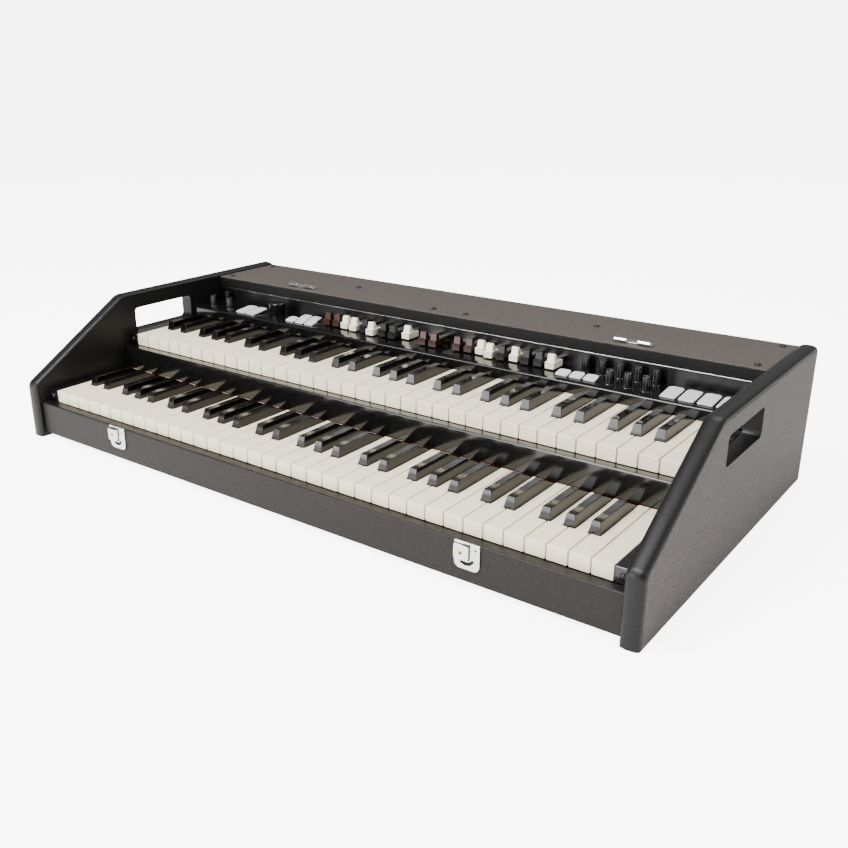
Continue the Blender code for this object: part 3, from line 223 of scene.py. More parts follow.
# %% Outlines
WELD = 0.000001
PLANES = {
    "XY": Matrix.Identity(4),
    "YZ": Matrix(((0, 0, 1, 0), (1, 0, 0, 0), (0, 1, 0, 0), (0, 0, 0, 1))),
    "XZ": Matrix(((1, 0, 0, 0), (0, 0, -1, 0), (0, 1, 0, 0), (0, 0, 0, 1))),
}
MADE = bpy.data.collections.new("dressed_organ")
bpy.context.scene.collection.children.link(MADE)


def arc(centre, radius, start, stop, steps):
    """Points along an arc, its angles in degrees."""
    turns = [math.radians(start + (stop - start) * i / steps) for i in range(steps + 1)]
    return [(centre[0] + radius * math.cos(a), centre[1] + radius * math.sin(a)) for a in turns]


def rounded(corners, steps=8, grow=0.0):
    """An outline whose corners, each (u, v, radius), are arcs. Growing it keeps their centres."""
    outline = []
    for i, (u, v, radius) in enumerate(corners):
        if radius == 0:
            outline.append((u, v))
            continue
        here = Vector((u, v))
        before = (Vector(corners[i - 1][:2]) - here).normalized()
        after = (Vector(corners[(i + 1) % len(corners)][:2]) - here).normalized()
        half = before.angle(after) / 2
        centre = here + (before + after).normalized() * radius / math.sin(half)
        first = here + before * radius / math.tan(half) - centre
        last = here + after * radius / math.tan(half) - centre
        start = math.atan2(first.y, first.x)
        sweep = math.remainder(math.atan2(last.y, last.x) - start, math.tau)
        outline += arc(centre, radius + grow, math.degrees(start), math.degrees(start + sweep), steps)
    return outline


print("planes:", *PLANES)

# %% [markdown]
# A filled 2D curve cuts holes by itself: a second outline inside the first becomes one. So a
# part is drawn as a curve, given a thickness and turned into a mesh. Its flat faces are then
# merged back into single faces, so that a Bevel modifier finds only real edges.


# %% Standing an outline up
def slab(outlines, thickness, plane, at=(0, 0, 0)):
    """An outline, its holes after it, with a thickness centred on a point."""
    curve = bpy.data.curves.new("outline", "CURVE")
    curve.dimensions = "2D"
    curve.fill_mode = "BOTH"
    curve.extrude = thickness / 2
    for outline in outlines:
        spline = curve.splines.new("POLY")
        spline.points.add(len(outline) - 1)
        spline.use_cyclic_u = True
        for point, place in zip(spline.points, outline):
            point.co = (place[0], place[1], 0, 1)
    item = bpy.data.objects.new("outline", curve)
    MADE.objects.link(item)
    bpy.context.view_layer.update()
    mesh = bpy.data.meshes.new_from_object(item.evaluated_get(bpy.context.evaluated_depsgraph_get()))
    bpy.data.objects.remove(item)
    shape = bmesh.new()
    shape.from_mesh(mesh)
    bmesh.ops.remove_doubles(shape, verts=shape.verts, dist=WELD)
    bmesh.ops.dissolve_limit(shape, angle_limit=0.001, verts=shape.verts, edges=shape.edges)
    bmesh.ops.recalc_face_normals(shape, faces=shape.faces)
    shape.to_mesh(mesh)
    shape.free()
    mesh.transform(Matrix.Translation(at) @ PLANES[plane])
    return mesh


print("a slab is an outline with a thickness")

# %% [markdown]
# Knobs, screws and rivets are turned on a lathe or moulded round. A ring of points is made for
# each point of the profile, and a knob's ribs are a small wave in the radius. A Screw modifier
# would turn the profile as well, but it can't add the ribs.


# %% Turning a profile
def turned(profile, steps, ribs=0, rib_depth=0.0):
    """A body turned about Z, from (radius, height) points up its outer side, ribbed if asked."""
    shape = bmesh.new()
    rings = []
    for radius, height in profile:
        ring = []
        for i in range(steps if radius else 1):
            angle = math.tau * i / steps
            r = radius * (1 + rib_depth * math.cos(ribs * angle))
            ring.append(shape.verts.new((r * math.cos(angle), r * math.sin(angle), height)))
        rings.append(ring)
    for low, high in zip(rings, rings[1:]):
        for i in range(steps):
            j = (i + 1) % steps
            corners = [low[i % len(low)], low[j % len(low)], high[j % len(high)], high[i % len(high)]]
            shape.faces.new(list(dict.fromkeys(corners)))
    bmesh.ops.recalc_face_normals(shape, faces=shape.faces)
    mesh = bpy.data.meshes.new("turned")
    shape.to_mesh(mesh)
    shape.free()
    return mesh


def moved(mesh, x=0.0, y=0.0, z=0.0, turn=None):
    """A copy of a mesh at another place."""
    copy = mesh.copy()
    copy.transform(Matrix.Translation((x, y, z)) @ (turn or Matrix.Identity(4)))
    return copy


def together(*meshes):
    """Several bodies in one mesh."""
    shape = bmesh.new()
    for mesh in meshes:
        shape.from_mesh(mesh)
    whole = bpy.data.meshes.new("together")
    shape.to_mesh(whole)
    shape.free()
    return whole


print("a turned profile can be ribbed")

# %% [markdown]
# Nothing real has knife edges. A Bevel modifier eases each piece by a few tenths of a
# millimetre, because those thin rounds catch the light and show where one piece ends. Every
# piece also says which body it moves with and which solids it stands for.

# %% A finished piece
SHARP_ANGLE = math.radians(40)
BEVEL_ANGLE = math.radians(35)


def piece(name, mesh, paint, body="case", replaces=(), edge=0.0, segments=2):
    """A finished piece that rides on a body and may stand for solids of the frame."""
    mesh.materials.clear()
    mesh.materials.append(paint)
    mesh.shade_smooth()
    mesh.set_sharp_from_angle(angle=SHARP_ANGLE)
    item = bpy.data.objects.new(name, mesh)
    MADE.objects.link(item)
    if edge:
        bevel = item.modifiers.new("edge", "BEVEL")
        bevel.width = edge
        bevel.segments = segments
        bevel.limit_method = "ANGLE"
        bevel.angle_limit = BEVEL_ANGLE
        bevel.harden_normals = True
    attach(item, body)
    for node in replaces:
        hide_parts(node)
    return item


def two_tone(item, paint, chosen):
    """Gives a second finish to the faces that a test chooses."""
    item.data.materials.append(paint)
    for face in item.data.polygons:
        face.material_index = 1 if chosen(face) else 0


print("pieces go into", MADE.name)

# %% [markdown]
# The camera stands to the player's right and looks down over the keys. Its place, turn and
# lens were fitted to the lines of the keys in the photograph, because the keys' size is known.
# A little shift puts the optical axis back where the picture was cropped.

# %% Camera
CAMERA_AT = (0.73263, -0.95547, 0.49223)
CAMERA_TURN = (69.321, 0.403, 37.445)
CAMERA_SHIFT = (0.0396, 0.0053)
LENS, SENSOR = 40.87, 36
camera = bpy.data.objects.new("camera", bpy.data.cameras.new("camera"))
bpy.context.scene.collection.objects.link(camera)
camera.location = CAMERA_AT
camera.rotation_euler = [math.radians(angle) for angle in CAMERA_TURN]
camera.data.lens = LENS
camera.data.sensor_fit = "HORIZONTAL"
camera.data.sensor_width = SENSOR
camera.data.shift_x, camera.data.shift_y = CAMERA_SHIFT
camera.data.clip_start = 0.01
bpy.context.scene.camera = camera
print("camera at", CAMERA_AT, "with a lens of", LENS, "mm")

# %% [markdown]
# The organ was photographed on a white sweep that is lit by itself, so hardly any shadow shows.
# The floor here does the same: it glows, and the light path lets the camera see it brighter
# than the light that it throws on the organ. Otherwise its glow would turn the blacks grey.

# %% Floor
FLOOR_HALF = 12
FLOOR_GLOW = 0.75
BACKDROP_LIGHT = 6.0
floor_shape = bmesh.new()
bmesh.ops.create_grid(floor_shape, x_segments=1, y_segments=1, size=FLOOR_HALF)
floor_mesh = bpy.data.meshes.new("floor")
floor_shape.to_mesh(floor_mesh)
floor_shape.free()
floor_paint = bpy.data.materials.new("floor")
floor_paint.use_nodes = True
floor_tree = floor_paint.node_tree
floor_shader = floor_tree.nodes["Principled BSDF"]
floor_shader.inputs["Base Color"].default_value = (0.95, 0.95, 0.95, 1)
floor_shader.inputs["Roughness"].default_value = 0.9
floor_shader.inputs["Emission Strength"].default_value = 1.0
seen = Signal.node(floor_tree, "ShaderNodeLightPath")
glow = Signal.node(floor_tree, "ShaderNodeMix", {"data_type": "RGBA"},
                   {0: seen, COLOUR_A: (FLOOR_GLOW, FLOOR_GLOW, FLOOR_GLOW, 1),
                    COLOUR_B: (BACKDROP_LIGHT, BACKDROP_LIGHT, BACKDROP_LIGHT, 1)}, out=COLOUR_OUT)
floor_tree.links.new(glow.socket, floor_shader.inputs["Emission Color"])
floor_mesh.materials.append(floor_paint)
floor = bpy.data.objects.new("floor", floor_mesh)
bpy.context.scene.collection.objects.link(floor)
print("floor", 2 * FLOOR_HALF, "m wide")

# %% [markdown]
# One large softbox hangs over the player and lights the keys and the lid. A second stands low
# in front, for the raked fronts of the sharps. Two weaker ones lift the right end board and the
# lid's back edge. The world gives an even light, and it too looks brighter to the camera.

# %% Lights and room
ROOM_LIGHT = 0.32


def softbox(name, at, towards, size, power):
    """A square area light that faces a point."""
    light = bpy.data.lights.new(name, "AREA")
    light.size = size
    light.energy = power
    item = bpy.data.objects.new(name, light)
    bpy.context.scene.collection.objects.link(item)
    item.location = at
    item.rotation_euler = (Vector(towards) - Vector(at)).to_track_quat("-Z", "Y").to_euler()


softbox("key_light", (-0.5, -1.3, 2.6), (0, 0, 0.1), 1.3, 165)
softbox("front_light", (-1.05, -2.35, 0.55), (0.1, 0, 0.1), 1.4, 70)
softbox("right_light", (2.4, -0.2, 1.3), (0.3, 0, 0.1), 1.2, 26)
softbox("back_light", (0.2, 1.6, 2.9), (0, 0.1, 0.1), 1.6, 50)
world = bpy.data.worlds.new("studio")
world.use_nodes = True
background = world.node_tree.nodes["Background"]
background.inputs["Color"].default_value = (1, 1, 1, 1)
seen = Signal.node(world.node_tree, "ShaderNodeLightPath")
world.node_tree.links.new((seen * BACKDROP_LIGHT + ROOM_LIGHT).socket, background.inputs["Strength"])
bpy.context.scene.world = world
print("lights:", len(bpy.data.lights))

# %% [markdown]
# Each end board is sawn from a panel and painted on its outer face, and a black plastic trim is
# pressed round its edge. The seam between the two is drawn first, a trim's height inside the
# board's outer edge, because the board and the trim both follow it.

# %% The seam round an end board
FIT_GAP = 0.0003
TRIM_HIGH = 0.0045
NOSE_HEIGHT = 0.0779
BEND_BACK = 0.1628
NOSE_RADIUS, BEND_RADIUS, BACK_RADIUS = 0.008, 0.018, 0.008
cheek_low, cheek_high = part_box("right_cheek")
lid_low, lid_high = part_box("top_lid")
CHEEK_INNER = float(lid_high[0]) + FIT_GAP
CHEEK_OUTER = float(cheek_high[0])
CHEEK_MIDDLE = (CHEEK_INNER + CHEEK_OUTER) / 2
CHEEK_THICK = CHEEK_OUTER - CHEEK_INNER
CASE_FRONT, CASE_BACK, CASE_TOP = float(cheek_low[1]), float(cheek_high[1]), float(cheek_high[2])
SLOPE = math.atan2(CASE_TOP - NOSE_HEIGHT, BEND_BACK)


def seam_corners():
    """The seam's corners, from the front foot round to the nose."""
    front, back, top = CASE_FRONT + TRIM_HIGH, CASE_BACK - TRIM_HIGH, CASE_TOP - TRIM_HIGH
    nose = NOSE_HEIGHT - TRIM_HIGH * (1 - math.sin(SLOPE)) / math.cos(SLOPE)
    bend = CASE_FRONT + BEND_BACK + TRIM_HIGH * (1 - math.cos(SLOPE)) / math.sin(SLOPE)
    return [(front, 0, 0), (back, 0, 0), (back, top, BACK_RADIUS), (bend, top, BEND_RADIUS),
            (front, nose, NOSE_RADIUS)]


print("end boards:", round(CHEEK_THICK * 1000, 1), "mm thick")
print("their slope:", round(math.degrees(SLOPE), 1), "degrees")

# %% [markdown]
# The trim is one strip with a crowned back. It could be a curve with a bevel, but then its ends
# at the feet would not be cut level. So a row of copies of the seam is made across the board's
# thickness, each grown by the height of the crown there, and joined into a skin.

# %% Edge trim
SEAM_STEPS = 10
TRIM_RINGS = 10
TRIM_INSIDE = -0.0012
TRIM_FOOT = 0.0002
CROWN_FOOT = 0.0004
CROWN_FULLNESS = 0.8
CROWN_WIDTH = 0.998


def trim_section():
    """The trim's cross-section: (across the board, out from the seam) points."""
    half = CHEEK_THICK / 2
    section = [(-half, TRIM_INSIDE), (-half, TRIM_FOOT)]
    for i in range(TRIM_RINGS + 1):
        angle = math.pi * i / TRIM_RINGS
        across = -half * math.cos(angle) * CROWN_WIDTH
        section.append((across, CROWN_FOOT + (TRIM_HIGH - CROWN_FOOT) * math.sin(angle) ** CROWN_FULLNESS))
    return section + [(half, TRIM_FOOT), (half, TRIM_INSIDE)]


def trim_path(grow):
    """The seam from the back foot over the top to the front foot, grown outwards."""
    over_the_top = rounded(seam_corners(), SEAM_STEPS, grow)[2:]
    return [(CASE_BACK - TRIM_HIGH + grow, 0)] + over_the_top + [(CASE_FRONT + TRIM_HIGH - grow, 0)]


def edge_trim(side):
    """The crowned strip round one end board."""
    shape = bmesh.new()
    rings = [[shape.verts.new((side * CHEEK_MIDDLE + across, y, z)) for y, z in trim_path(grow)]
             for across, grow in trim_section()]
    for one, two in zip(rings, rings[1:] + rings[:1]):
        for i in range(len(one) - 1):
            shape.faces.new((one[i], one[i + 1], two[i + 1], two[i]))
    shape.faces.new([ring[0] for ring in rings])
    shape.faces.new([ring[-1] for ring in rings][::-1])
    bmesh.ops.recalc_face_normals(shape, faces=shape.faces)
    mesh = bpy.data.meshes.new("edge_trim")
    shape.to_mesh(mesh)
    shape.free()
    return mesh


print("trim:", len(trim_section()), "points across and", len(trim_path(0)), "along")

# %% [markdown]
# The board itself fills the seam, with a hand hole that the organ is carried by. Its outer face
# has the case's textured paint in its lit grey-brown, which is painted light. The inner face and
# the walls of the hole are plain black.

# %% End boards
HOLE_FRONT, HOLE_LENGTH = CASE_FRONT + 0.183, 0.109
HOLE_TOP, HOLE_HEIGHT = CASE_TOP - 0.0237, 0.0345
HOLE_RADIUS = 0.006
FACE_ON = 0.9


def box_outline(left, low, right, high, low_radius=0.0, high_radius=0.0, steps=8):
    """A rectangle with one radius at its two low corners and another at its two high ones."""
    return rounded([(left, low, low_radius), (right, low, low_radius), (right, high, high_radius),
                    (left, high, high_radius)], steps)


hand_hole = box_outline(HOLE_FRONT, HOLE_TOP - HOLE_HEIGHT, HOLE_FRONT + HOLE_LENGTH, HOLE_TOP,
                        HOLE_RADIUS, HOLE_RADIUS)
for side, word in ((-1, "left"), (1, "right")):
    board = slab([rounded(seam_corners(), SEAM_STEPS), hand_hole], CHEEK_THICK, "YZ",
                 at=(side * CHEEK_MIDDLE, 0, 0))
    item = piece(f"{word}_end_board", board, LIT_PAINT, replaces=[f"{word}_cheek"])
    # Outer face in the lit grey-brown copy of the paint, a painted light; the rest plain black.
    two_tone(item, INNER_BLACK, lambda face: face.normal.x * side <= FACE_ON)
    piece(f"{word}_edge_trim", edge_trim(side), TRIM)
print("hand holes:", round(HOLE_LENGTH * 1000), "mm long")

# %% [markdown]
# The front rail closes the case below the keys and shows a ledge in front of them. The
# fallboard closes the step between the manuals. Both are boards on edge, so their outline is
# drawn from the side, with the upper front edge rounded more than the back one.

# %% Front rail and fallboard
LEDGE_ROUND, BACK_ROUND = 0.0016, 0.0006
UPWARD = 0.35


def cross_board(name, node, face_paint, top_paint):
    """A board across the case: one finish on its face, another on its upper ledge."""
    low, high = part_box(node)
    outline = rounded([(low[1], low[2], 0), (high[1], low[2], 0), (high[1], high[2], BACK_ROUND),
                       (low[1], high[2], LEDGE_ROUND)], steps=6)
    item = piece(name, slab([outline], high[0] - low[0], "YZ"), face_paint, replaces=[node])
    two_tone(item, top_paint, lambda face: face.normal.z > UPWARD)
    print(name, round((high[2] - low[2]) * 1000, 1), "mm high")


cross_board("front_rail_board", "front_rail", RAIL, TRIM)
cross_board("fallboard", "lower_fallboard", GLOSS, GLOSS)

# %% [markdown]
# The lid is a thick board in the case's textured paint. Its top has the lit grey-brown copy of
# that paint, a painted light, and its front and back edges the black copy, a painted shade,
# which makes a dark line along the top of the panel.

# %% Lid
LID_UPWARD = 0.5
LID_ROUND, LID_UNDER_ROUND = 0.0022, 0.0006
lid_outline = rounded([(lid_low[1], lid_low[2], LID_UNDER_ROUND), (lid_high[1], lid_low[2], 0),
                       (lid_high[1], lid_high[2], LID_ROUND), (lid_low[1], lid_high[2], LID_ROUND)])
lid = piece("lid_board", slab([lid_outline], lid_high[0] - lid_low[0], "YZ"), LIT_PAINT, replaces=["top_lid"])
# Painted shade: faces that don't look up get the dark copy of the lid's paint.
two_tone(lid, SHADED_PAINT, lambda face: face.normal.z <= LID_UPWARD)
print("lid:", round((lid_high[2] - lid_low[2]) * 1000, 1), "mm thick")

# %% [markdown]
# Solids whose shape is right keep it, and only get a better finish: the base, the shelf of the
# upper manual, the rear panel and what is fixed to it, the power supply and the sound board.


# %% Solids that keep their shape
def dress(paint, *nodes):
    """Gives solids of the frame a better finish."""
    for node in nodes:
        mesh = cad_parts[node].data
        mesh.materials.clear()
        mesh.materials.append(paint)
    print(*nodes, "in", paint.name)


dress(WOOD, "base_board")
dress(STEEL, "manual_shelf", "power_supply")
dress(RAIL, "rear_panel")
dress(CIRCUIT, "main_board")
dress(PLASTIC, "mains_inlet", "power_switch", "jack_board")

# %% [markdown]
# The places of the key tops and fronts come from one moving key of each manual. A strip of red
# felt lies over the lower keys where they pass under the fallboard. It is a plain slab, just
# over the keys and just proud of the fallboard, because only its front edge shows.

# %% Where the keys are, and the felt behind them
FELT_THICK, FELT_DEEP, FELT_PROUD = 0.0009, 0.006, 0.0001
FELT_GAP = 0.0005
BOARD_HALF = float(lid_high[0])
KEY_FRONT, KEY_TOP = {}, {}
for level in ("lower", "upper"):
    low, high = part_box(f"{level}_key_c4")
    KEY_FRONT[level], KEY_TOP[level] = float(low[1]), float(high[2])
felt_front = float(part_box("lower_fallboard")[0][1]) - FELT_PROUD
felt_outline = box_outline(-BOARD_HALF, felt_front, BOARD_HALF, felt_front + FELT_PROUD + FELT_DEEP)
felt_middle = KEY_TOP["lower"] + FELT_GAP + FELT_THICK / 2
piece("key_felt", slab([felt_outline], FELT_THICK, "XY", at=(0, 0, felt_middle)), FELT)
print("key tops at", {level: round(top * 1000, 1) for level, top in KEY_TOP.items()}, "mm")

# %% [markdown]
# A manual of five octaves has 36 naturals, and 25 sharps that stand between them. The sharps
# aren't in the middle of their gaps: within a group of two or three they spread out, so that
# each natural keeps a tail of about the same width. A letter's shift is written once.

# %% The places of the keys
NATURALS = 36
KEY_PITCH = 0.0235
NOTES = "CDEFGAB"
LOWEST_OCTAVE = 2
SHARP_SHIFT = {"C": -0.0024, "D": 0.0024, "F": -0.0036, "G": 0.0, "A": 0.0036}


def natural_x(i):
    """The middle of a natural, counted from the left."""
    return (i - (NATURALS - 1) / 2) * KEY_PITCH


def sharp_x(i):
    """The middle of the sharp after a natural, or None."""
    note = NOTES[i % len(NOTES)] if 0 <= i < NATURALS - 1 else ""
    return natural_x(i) + KEY_PITCH / 2 + SHARP_SHIFT[note] if note in SHARP_SHIFT else None


print("sharps:", sum(sharp_x(i) is not None for i in range(NATURALS)))

# %% [markdown]
# A natural is a hollow moulding with a flat top and a square lip. What shows is its top, its
# front and the notches beside the sharps. So it is drawn from above, as a head and a tail, and
# drawn down to its depth, and then the head goes deeper to make the lip. The face that is left
# inside, where the lip starts, is deleted: where three faces meet, the Bevel would stop.

# %% A natural
KEY_WIDTH = 0.0222
KEY_DEEP = 0.012
KEY_LONG = 0.205
LIP_DEEP = 0.0168
LIP_BACK = 0.007
SHARP_FRONT = 0.046
SHARP_WIDE = 0.0134
NOTCH_GAP = 0.0005
NOTCH_FRONT_GAP = 0.001


def drawn_down(shape, faces, depth):
    """Extrudes faces downwards and gives the faces at the bottom."""
    made = bmesh.ops.extrude_face_region(shape, geom=faces)["geom"]
    points = [part for part in made if isinstance(part, bmesh.types.BMVert)]
    bmesh.ops.translate(shape, vec=(0, 0, -depth), verts=points)
    return [part for part in made if isinstance(part, bmesh.types.BMFace)]


def natural_mesh(i, y, z):
    """A natural at its place: a head with its lip, and a tail beside its sharps."""
    x, half = natural_x(i), KEY_WIDTH / 2
    cut = SHARP_WIDE / 2 + NOTCH_GAP
    left, right = sharp_x(i - 1), sharp_x(i)
    tail_left = x - half if left is None else left + cut
    tail_right = x + half if right is None else right - cut
    notch, back = y + SHARP_FRONT - NOTCH_FRONT_GAP, y + KEY_LONG
    tail_places = [(x - half, notch), (tail_left, notch), (tail_left, back),
                   (tail_right, back), (tail_right, notch), (x + half, notch)]
    shape = bmesh.new()
    front = [shape.verts.new((x + side * half, y, z)) for side in (-1, 1)]
    lip = [shape.verts.new((x + side * half, y + LIP_BACK, z)) for side in (-1, 1)]
    tail = [shape.verts.new((u, v, z)) for u, v in dict.fromkeys(tail_places)]
    head_face = shape.faces.new([front[0], front[1], lip[1], lip[0]])
    tail_face = shape.faces.new([lip[0], lip[1]] + tail[::-1])
    under = drawn_down(shape, [head_face, tail_face], KEY_DEEP)
    head_under = [face for face in under if face.calc_center_median().y < y + LIP_BACK]
    drawn_down(shape, head_under, LIP_DEEP - KEY_DEEP)
    inside = [face for face in head_under if face.is_valid]
    bmesh.ops.delete(shape, geom=inside, context="FACES_ONLY")
    bmesh.ops.recalc_face_normals(shape, faces=shape.faces)
    mesh = bpy.data.meshes.new("natural")
    shape.to_mesh(mesh)
    shape.free()
    return mesh


print("a natural:", KEY_WIDTH * 1000, "x", KEY_LONG * 1000, "mm")

# %% [markdown]
# A sharp is drawn from the side: raked in front, flat on top, and sloping away to the level of
# the naturals, where it passes under the fallboard or the panel. Its flanks then lean in towards
# the top, as they do on a real key, so that a finger can reach between two of them.

# %% A sharp
SHARP_TOP_WIDE = 0.0094
SHARP_HIGH = 0.012
SHARP_RAKE = 0.0035
SHARP_FLAT_TO = 0.108
SHARP_LONG_TO = 0.129
SHARP_END_HIGH = 0.001


def sharp_mesh(i, y, z):
    """A sharp at its place, raked at the front, sloping away at the back."""
    side_view = [(SHARP_FRONT, -KEY_DEEP), (KEY_LONG, -KEY_DEEP), (KEY_LONG, 0), (SHARP_LONG_TO, 0),
                 (SHARP_LONG_TO, SHARP_END_HIGH), (SHARP_FLAT_TO, SHARP_HIGH),
                 (SHARP_FRONT + SHARP_RAKE, SHARP_HIGH), (SHARP_FRONT, 0)]
    mesh = slab([side_view], SHARP_WIDE, "YZ")
    for vertex in mesh.vertices:
        lean = max(vertex.co.z, 0) / SHARP_HIGH * (SHARP_WIDE - SHARP_TOP_WIDE) / 2
        vertex.co.x -= math.copysign(lean, vertex.co.x)
    return moved(mesh, sharp_x(i), y, z)


print("a sharp:", SHARP_WIDE * 1000, "mm wide and", SHARP_HIGH * 1000, "mm high")

# %% [markdown]
# Now both manuals are laid out. A key whose note has a solid of its own plays, so it rides on
# that solid's body. The others ride on the case, over a folded frame that stands for the solid
# in which they were joined.

# %% Both manuals
NATURAL_EDGE, SHARP_EDGE = 0.0009, 0.0011
FRAME_SHEET, FRAME_BACK = 0.003, 0.015
FRAME_RIB_FRONT, FRAME_RIB_BACK, FRAME_RIB_DOWN = 0.018, 0.036, 0.0215


def lay_key(level, kind, note, mesh, paint, edge):
    """Lays one key, on its own body if that note plays."""
    node = f"{level}_key_{note}"
    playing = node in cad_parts
    piece(f"{level}_{kind}_{note}", mesh, paint, body=node if playing else "case",
          replaces=[node] if playing else (), edge=edge, segments=3)


def key_frame(level, y, z):
    """The folded frame that carries a manual's keys, seen from the side."""
    low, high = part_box(f"{level}_keybed")
    floor_top, rib_top = low[2] + FRAME_SHEET, z - FRAME_RIB_DOWN
    side_view = [(low[1], low[2]), (high[1], low[2]), (high[1], high[2]), (high[1] - FRAME_BACK, high[2]),
                 (high[1] - FRAME_BACK, floor_top), (y + FRAME_RIB_BACK, floor_top),
                 (y + FRAME_RIB_BACK, rib_top), (y + FRAME_RIB_FRONT, rib_top),
                 (y + FRAME_RIB_FRONT, floor_top), (low[1], floor_top)]
    piece(f"{level}_key_frame", slab([side_view], high[0] - low[0], "YZ"), STEEL,
          replaces=[f"{level}_keybed"])


for level in ("lower", "upper"):
    y, z = KEY_FRONT[level], KEY_TOP[level]
    for i in range(NATURALS):
        letter, octave = NOTES[i % len(NOTES)].lower(), LOWEST_OCTAVE + i // len(NOTES)
        lay_key(level, "natural", f"{letter}{octave}", natural_mesh(i, y, z), IVORY, NATURAL_EDGE)
        if sharp_x(i) is not None:
            lay_key(level, "sharp", f"{letter}_sharp{octave}", sharp_mesh(i, y, z), EBONY, SHARP_EDGE)
    key_frame(level, y, z)

# %% [markdown]
# The control panel is one folded sheet: a narrow flange in front, the top that holds the
# controls, and a wall up to the lid. It is drawn from the side as one outline. Its top is
# glossy enough to mirror the drawbar caps, and the wall is duller.

# %% Control panel
PANEL_SHEET = 0.0015
PANEL_BACK_FROM_KEYS = 0.1297
PANEL_OVER_KEYS = 0.0146
FLANGE_OVER_KEYS = 0.0015
PANEL_FRONT = KEY_FRONT["upper"] + PANEL_BACK_FROM_KEYS
PANEL_TOP = KEY_TOP["upper"] + PANEL_OVER_KEYS
PANEL_WALL = float(lid_low[1]) + PANEL_SHEET
UNDER_LID = float(lid_low[2]) - FIT_GAP
flange_low = KEY_TOP["upper"] + FLANGE_OVER_KEYS
panel_outline = [
    (PANEL_FRONT, flange_low), (PANEL_FRONT + PANEL_SHEET, flange_low),
    (PANEL_FRONT + PANEL_SHEET, PANEL_TOP - PANEL_SHEET),
    (PANEL_WALL + PANEL_SHEET, PANEL_TOP - PANEL_SHEET),
    (PANEL_WALL + PANEL_SHEET, UNDER_LID), (PANEL_WALL, UNDER_LID), (PANEL_WALL, PANEL_TOP),
    *arc((PANEL_FRONT + PANEL_SHEET, PANEL_TOP - PANEL_SHEET), PANEL_SHEET, 90, 180, 5),
]
panel = piece("panel_sheet", slab([panel_outline], 2 * BOARD_HALF, "YZ"), GLOSS, replaces=["control_panel"])
two_tone(panel, WALL, lambda face: face.normal.y < -FACE_ON and face.center.z > PANEL_TOP)
print("panel top at", round(PANEL_TOP * 1000, 1), "mm")

# %% [markdown]
# A thin metal strip runs under the lid's front edge and shows as a bright line over the panel.
# It could be painted on the wall, but a strip with eased edges catches the light by itself.

# %% Bright strip under the lid
STRIP_FRONT, STRIP_BACK = PANEL_WALL - 0.0012, PANEL_WALL - 0.0001
STRIP_LOW, STRIP_HIGH = UNDER_LID - 0.0011, UNDER_LID - 0.0002
strip = slab([box_outline(STRIP_FRONT, STRIP_LOW, STRIP_BACK, STRIP_HIGH)], 2 * BOARD_HALF, "YZ")
piece("lid_edge_strip", strip, STEEL, edge=0.0003)
print("strip:", round((STRIP_HIGH - STRIP_LOW) * 1000, 1), "mm high")

# %% [markdown]
# A drawbar is a flat steel stem that slides out of the panel's wall, with a moulded cap. The
# cap has a foot with a shelf and an upright fin that the finger pulls. Foot and fin are two
# slabs in one mesh: seen from a player's place, their join is the real cap's own step.

# %% A drawbar's cap and stem
CAP_LONG, CAP_WIDE = 0.024, 0.0125
FOOT_FRONT_HIGH, FOOT_BACK_HIGH = 0.0086, 0.0082
STEP_AT, STEP_HIGH = 0.013, 0.0094
FIN_WIDE, FIN_LOW, FIN_HIGH, FIN_ROUND = 0.0112, 0.004, 0.0182, 0.0006
FIN_TAPER_FROM, FIN_TAPER = 0.017, 0.84
STEM_HALF, STEM_THICK, STEM_HEIGHT = 0.004, 0.002, 0.0089
STEM_FROM, STEM_TO = 0.014, 0.084
foot_view = [(0, 0), (CAP_LONG, 0), (CAP_LONG, FOOT_BACK_HIGH), (STEP_AT, STEP_HIGH), (0, FOOT_FRONT_HIGH)]
fin_view = [(0.0022, FIN_LOW), (0.0125, FIN_LOW), (0.0118, 0.0095), (0.0092, FIN_HIGH - FIN_ROUND),
            (0.0082, FIN_HIGH), (0.0054, FIN_HIGH), (0.0046, FIN_HIGH - FIN_ROUND)]
foot = slab([foot_view], CAP_WIDE, "YZ")
fin = slab([fin_view], FIN_WIDE, "YZ")
for vertex in fin.vertices:
    if vertex.co.z > FIN_TAPER_FROM:
        vertex.co.x *= FIN_TAPER
stem_view = box_outline(-STEM_HALF, STEM_FROM, STEM_HALF, STEM_TO)
stem = slab([stem_view], STEM_THICK, "XY", at=(0, 0, STEM_HEIGHT))
print("cap:", CAP_LONG * 1000, "mm long and", FIN_HIGH * 1000, "mm high")

# %% [markdown]
# Two sets of nine drawbars stand either side of a pair for the pedals. Their colours tell the
# footages apart in the same order in both sets. How far each is drawn was read from the
# photograph. The upper set has solids of its own, so those caps ride on their bodies.

